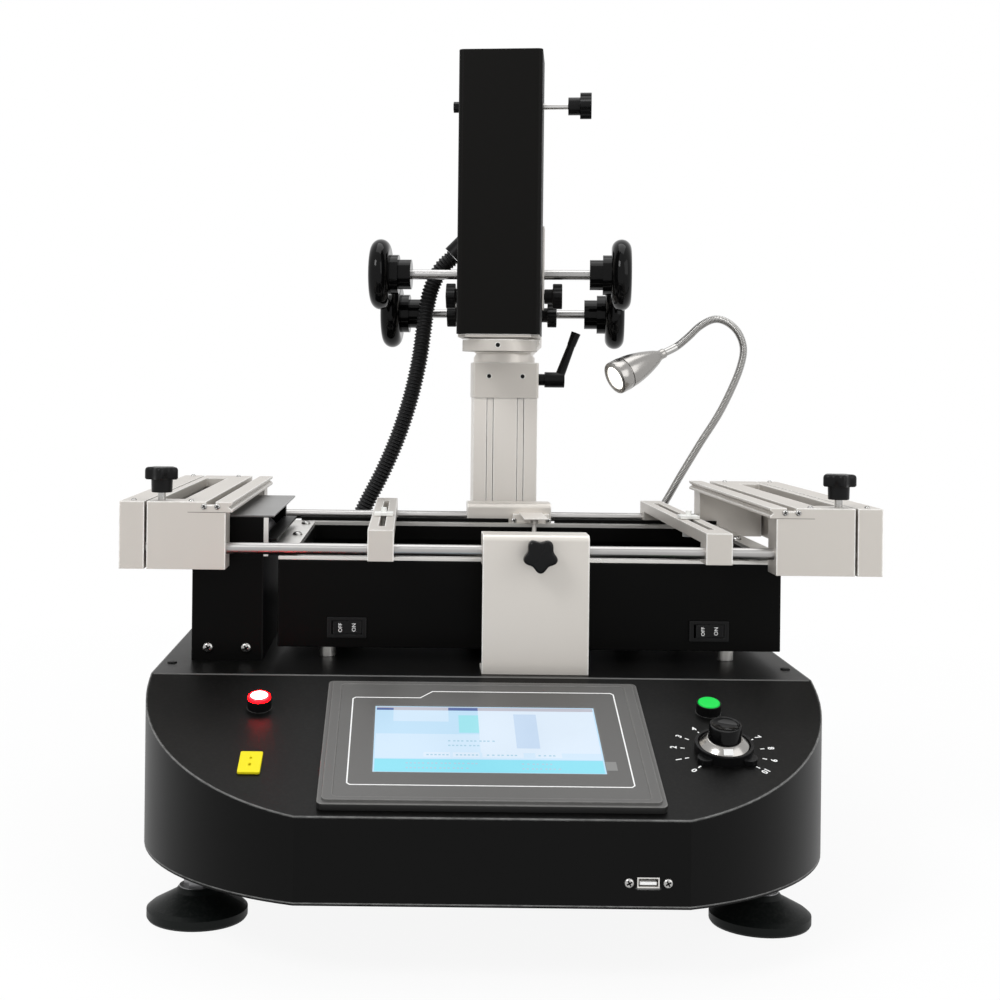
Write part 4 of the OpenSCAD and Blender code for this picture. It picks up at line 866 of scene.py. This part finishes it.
screwPlaces = {  # for each body: place, direction it faces, head radius
    "base": [
        (spot(-213, 238, 178), (0, -1, 0), 4.2), (spot(-183, 238, 178), (0, -1, 0), 4.2),
        (spot(87.6, 0, 70), (0, -1, 0), 3.2), (spot(112.5, 0, 70), (0, -1, 0), 3.2),
        (spot(45, 510, 258), (0, -1, 0), 2.6), (spot(78, 510, 258), (0, -1, 0), 2.6),
    ] + [(spot(x, 690, z), (0, 1, 0), 3.2) for x in (-235, 0, 235) for z in (70, 150)],
    "left_carriage": [(spot(x, 193, 292.4), (0, -1, 0), 2.3) for x in (-211.5, -201.5)]
    + [(spot(-222, y, 296), (0, 0, 1), 2.2) for y in (199, 530)],
    "right_carriage": [(spot(x, 193, 292.4), (0, -1, 0), 2.3) for x in (240.5, 230.5)]
    + [(spot(251, y, 296), (0, 0, 1), 2.2) for y in (199, 530)],
    "table": [(spot(x, y, 296), (0, 0, 1), 2.2) for x in (-266.5, 295.5) for y in (203, 534)],
}
for body, places in screwPlaces.items():
    screwMesh = bmesh.new()
    for point, facing, radius in places:
        addScrew(screwMesh, point, facing, radius)
    newPiece(body + "Screws", screwMesh, ["screwSteel", "plugBlackAndRecessShade"], body)
print("screws made")

# Bright frame over the preheater's rim on short spacers, and the black upstand behind it
rimSet = {
    "z": (253.0, 256.0), "foot": 250.0,
    "strips": ((-169.4, 247, -145, 509.5), (225.5, 247, 240.5, 509.5), (-145, 247, 225.5, 260),
               (-145, 496, 225.5, 509.5)),
    "screws": ((-152, 360), (-152, 470), (228, 360), (228, 478)),
    "upstand": ((-159, 511.3, 40, 512.8), (84, 511.3, 240, 512.8)), "upstandTop": 259.5,
    "skirts": ((-145, 495.3, 225.5, 495.9), (-145, 260, -144.4, 495.3), (224.9, 260, 225.5, 495.3)),
    "skirtFoot": 240.0,
}
flat = scaled(Matrix.Translation(spot(0, 0, 0)))
rimMesh = bmesh.new()
for strip in rimSet["strips"]:
    addPrism(rimMesh, rectangle(*strip), *rimSet["z"], flat)
for x, y in rimSet["screws"]:
    foot = scaled(Matrix.Translation(spot(x, y, rimSet["foot"])))
    addLathe(rimMesh, [(0.1, 0), (4, 0), (4, 3), (0.1, 3)], foot, 24)
    addScrew(rimMesh, spot(x, y, rimSet["z"][1]), (0, 0, 1), 4.2, 1, 2)
for plate in rimSet["upstand"]:
    addPrism(rimMesh, rectangle(*plate), rimSet["foot"], rimSet["upstandTop"], flat, 3)
for plate in rimSet["skirts"]:
    addPrism(rimMesh, rectangle(*plate), rimSet["skirtFoot"], rimSet["z"][0], flat, 3)
newPiece("rimFrame", rimMesh, ["stainless", "screwSteel", "plugBlackAndRecessShade", "trayCoat"], "base")

# Cover strips in the column's slots, and black discs painted as the shade inside the holes of its cap and of the
# nozzle ring
slotSet = {
    "x": (25.5, 56.5), "faces": (600.0, 660.0), "half": 2.9, "below": 1.2, "thick": 1.6, "z": (168.5, 374.5),
}
slotMesh = bmesh.new()
for x in slotSet["x"]:
    for face, inward in zip(slotSet["faces"], (1, -1)):
        depths = (slotSet["below"], slotSet["below"] + slotSet["thick"])
        near, far = sorted(face + inward * depth for depth in depths)
        addPrism(slotMesh, rectangle(x - slotSet["half"], near, x + slotSet["half"], far), *slotSet["z"], flat)
newPiece("slotStrips", slotMesh, ["columnAlloyPaintedLight"], "base")
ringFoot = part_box("nozzle_ring")[0][2] * 1000
holeSet = {"base": [spot(24, 598, 397), spot(58, 598, 397)], "head": [turnedSpot(41, 496.7, ringFoot + 5.5)]}
for body, places in holeSet.items():
    holeMesh = bmesh.new()
    for point in places:
        out = Matrix.Translation(point) @ Matrix.Rotation(math.pi / 2, 4, "X")
        addLathe(holeMesh, [(0.05, -1), (2.9, -1), (2.9, 0.06), (2.6, 0.14), (0.05, 0.14)], scaled(out), 32)
        # black disc painted as the shade inside the hole
        addLathe(holeMesh, [(0.05, 0.1), (2.1, 0.1), (2.1, 0.22), (0.05, 0.22)], scaled(out), 32, 1)
    newPiece(body + "Holes", holeMesh, ["stainless", "plugBlackAndRecessShade"], body)

# Seam between plank and block on the front of each carriage
seamSet = {
    "z": (287.85, 288.15), "y": (192.92, 193.2),
    "x": {"left_carriage": (-224, -195), "right_carriage": (224, 253)},
}
for body, (x0, x1) in seamSet["x"].items():
    seamMesh = bmesh.new()
    addPrism(seamMesh, rectangle(x0, seamSet["y"][0], x1, seamSet["y"][1]), *seamSet["z"], flat)
    newPiece(body + "Seam", seamMesh, ["plugBlackAndRecessShade"], body)

# Small pieces on the housing: socket tongue, fan strip, deck plugs, inlet pins, and a grey strip that paints the
# highlight along the bend
trimSet = {
    "tongue": (94.6, 1.2, 105.4, 11.8), "tongueZ": (68.4, 70.3),
    "fanStrip": (-170.0, 237.4, -166.4, 241.2), "fanStripZ": (250.4, 280.6),
    "plugs": ((-239, 224), (239, 224)), "plug": [(0.1, 0), (3.8, 0), (3.8, 0.5), (3.2, 1.0), (0.1, 1.1)],
    "pins": ((-158, 114), (-163, 107), (-153, 107)), "pinHalf": (0.9, 2), "pinY": (676, 690.5),
    "bend": (-246, -1.9, 246, 0), "bendZ": (-0.3, 0.12),
}
deckZ = layout["slopeZ"] + layout["slopeRise"]
trimMesh = bmesh.new()
addPrism(trimMesh, rectangle(*trimSet["tongue"]), *trimSet["tongueZ"], flat)
addPrism(trimMesh, rectangle(*trimSet["fanStrip"]), *trimSet["fanStripZ"], flat, 1)
for x, y in trimSet["plugs"]:
    addLathe(trimMesh, trimSet["plug"], scaled(Matrix.Translation(spot(x, y, deckZ))), 28, 2)
pinWide, pinHigh = trimSet["pinHalf"]
for x, z in trimSet["pins"]:
    pin = rectangle(x - pinWide, trimSet["pinY"][0], x + pinWide, trimSet["pinY"][1])
    addPrism(trimMesh, pin, z - pinHigh, z + pinHigh, flat, 1)
bendUp = layout["slopeRise"] / math.sin(slopeAngle)
# grey strip painted as the highlight along the bend between deck and slope
addPrism(trimMesh, rectangle(*trimSet["bend"]), *trimSet["bendZ"], scaled(slopeFrame(0, bendUp)), 3)
newPiece("housingTrim", trimMesh, ["markWhite", "stainless", "plugBlackAndRecessShade", "bendHighlight"], "base")
print("strips and trim made")

# Floor, light and world
def backgroundRays(tree):  # one for rays that look at the background, straight or in a reflection
    seen = tree.nodes.new("ShaderNodeLightPath")
    direct = mathNode(tree, "MAXIMUM", seen.outputs["Is Camera Ray"], seen.outputs["Is Glossy Ray"])
    return mathNode(tree, "MAXIMUM", direct, seen.outputs["Is Transmission Ray"])


stageSet = {"floor": (0.92, 0.92, 0.915), "lit": (0.91, 1.0), "fade": (0.45, 1.3), "size": 12.0, "z": -0.0002}
floorMesh = bpy.data.meshes.new("floor")
reach = stageSet["size"]
corners = [(x, y, 0) for x, y in rectangle(-reach, -reach, reach, reach)]
floorMesh.from_pydata(corners, [], [(0, 1, 2, 3)])
floor = bpy.data.objects.new("floor", floorMesh)
floor.location.z = stageSet["z"]
scene.collection.objects.link(floor)
floorFinish = bpy.data.materials.new("paleFloor")
floorFinish.use_nodes = True
tree = floorFinish.node_tree
tree.nodes.clear()
card = tree.nodes.new("ShaderNodeBsdfDiffuse")
card.inputs["Color"].default_value = (*stageSet["floor"], 1)
white = tree.nodes.new("ShaderNodeEmission")
white.inputs["Color"].default_value = (1, 1, 1, 1)
blendIn = tree.nodes.new("ShaderNodeMixShader")
sink = tree.nodes.new("ShaderNodeOutputMaterial")
spread = tree.nodes.new("ShaderNodeVectorMath")  # the floor runs out to plain white round the object
spread.operation = "LENGTH"
place = tree.nodes.new("ShaderNodeTexCoord")
tree.links.new(place.outputs["Object"], spread.inputs[0])
away = mapRange(tree, spread.outputs["Value"], *stageSet["fade"], *stageSet["lit"])
tree.links.new(mathNode(tree, "MULTIPLY", backgroundRays(tree), away), blendIn.inputs[0])
tree.links.new(card.outputs[0], blendIn.inputs[1])
tree.links.new(white.outputs[0], blendIn.inputs[2])
tree.links.new(blendIn.outputs[0], sink.inputs[0])
floorMesh.materials.append(floorFinish)

worldSet = {"light": 0.55, "tone": (0.96, 0.98, 1.0)}
world = bpy.data.worlds.new("studio")
scene.world = world
world.use_nodes = True
tree = world.node_tree
tree.nodes.clear()
soft = tree.nodes.new("ShaderNodeBackground")
soft.inputs["Color"].default_value = (*worldSet["tone"], 1)
soft.inputs["Strength"].default_value = worldSet["light"]
white = tree.nodes.new("ShaderNodeBackground")
white.inputs["Color"].default_value = (1, 1, 1, 1)
blendIn = tree.nodes.new("ShaderNodeMixShader")
sink = tree.nodes.new("ShaderNodeOutputWorld")
tree.links.new(backgroundRays(tree), blendIn.inputs[0])
tree.links.new(soft.outputs[0], blendIn.inputs[1])
tree.links.new(white.outputs[0], blendIn.inputs[2])
tree.links.new(blendIn.outputs[0], sink.inputs[0])

lampPlaces = [  # name, place, target, size, watts
    ("keyLamp", (-1.3, -1.6, 1.9), (0, 0, 0.3), 0.8, 26.0),
    ("fillLamp", (1.6, -1.4, 1.2), (0, 0, 0.25), 1.6, 14.0),
    ("topLamp", (0.1, 0.3, 2.4), (0, 0, 0.2), 1.6, 18.0),
]
for name, place, target, size, watts in lampPlaces:
    data = bpy.data.lights.new(name, "AREA")
    data.shape = "SQUARE"
    data.size = size
    data.energy = watts
    lamp = bpy.data.objects.new(name, data)
    lamp.location = place
    lamp.rotation_euler = (Vector(target) - Vector(place)).to_track_quat("-Z", "Y").to_euler()
    scene.collection.objects.link(lamp)
print("stage and light set")
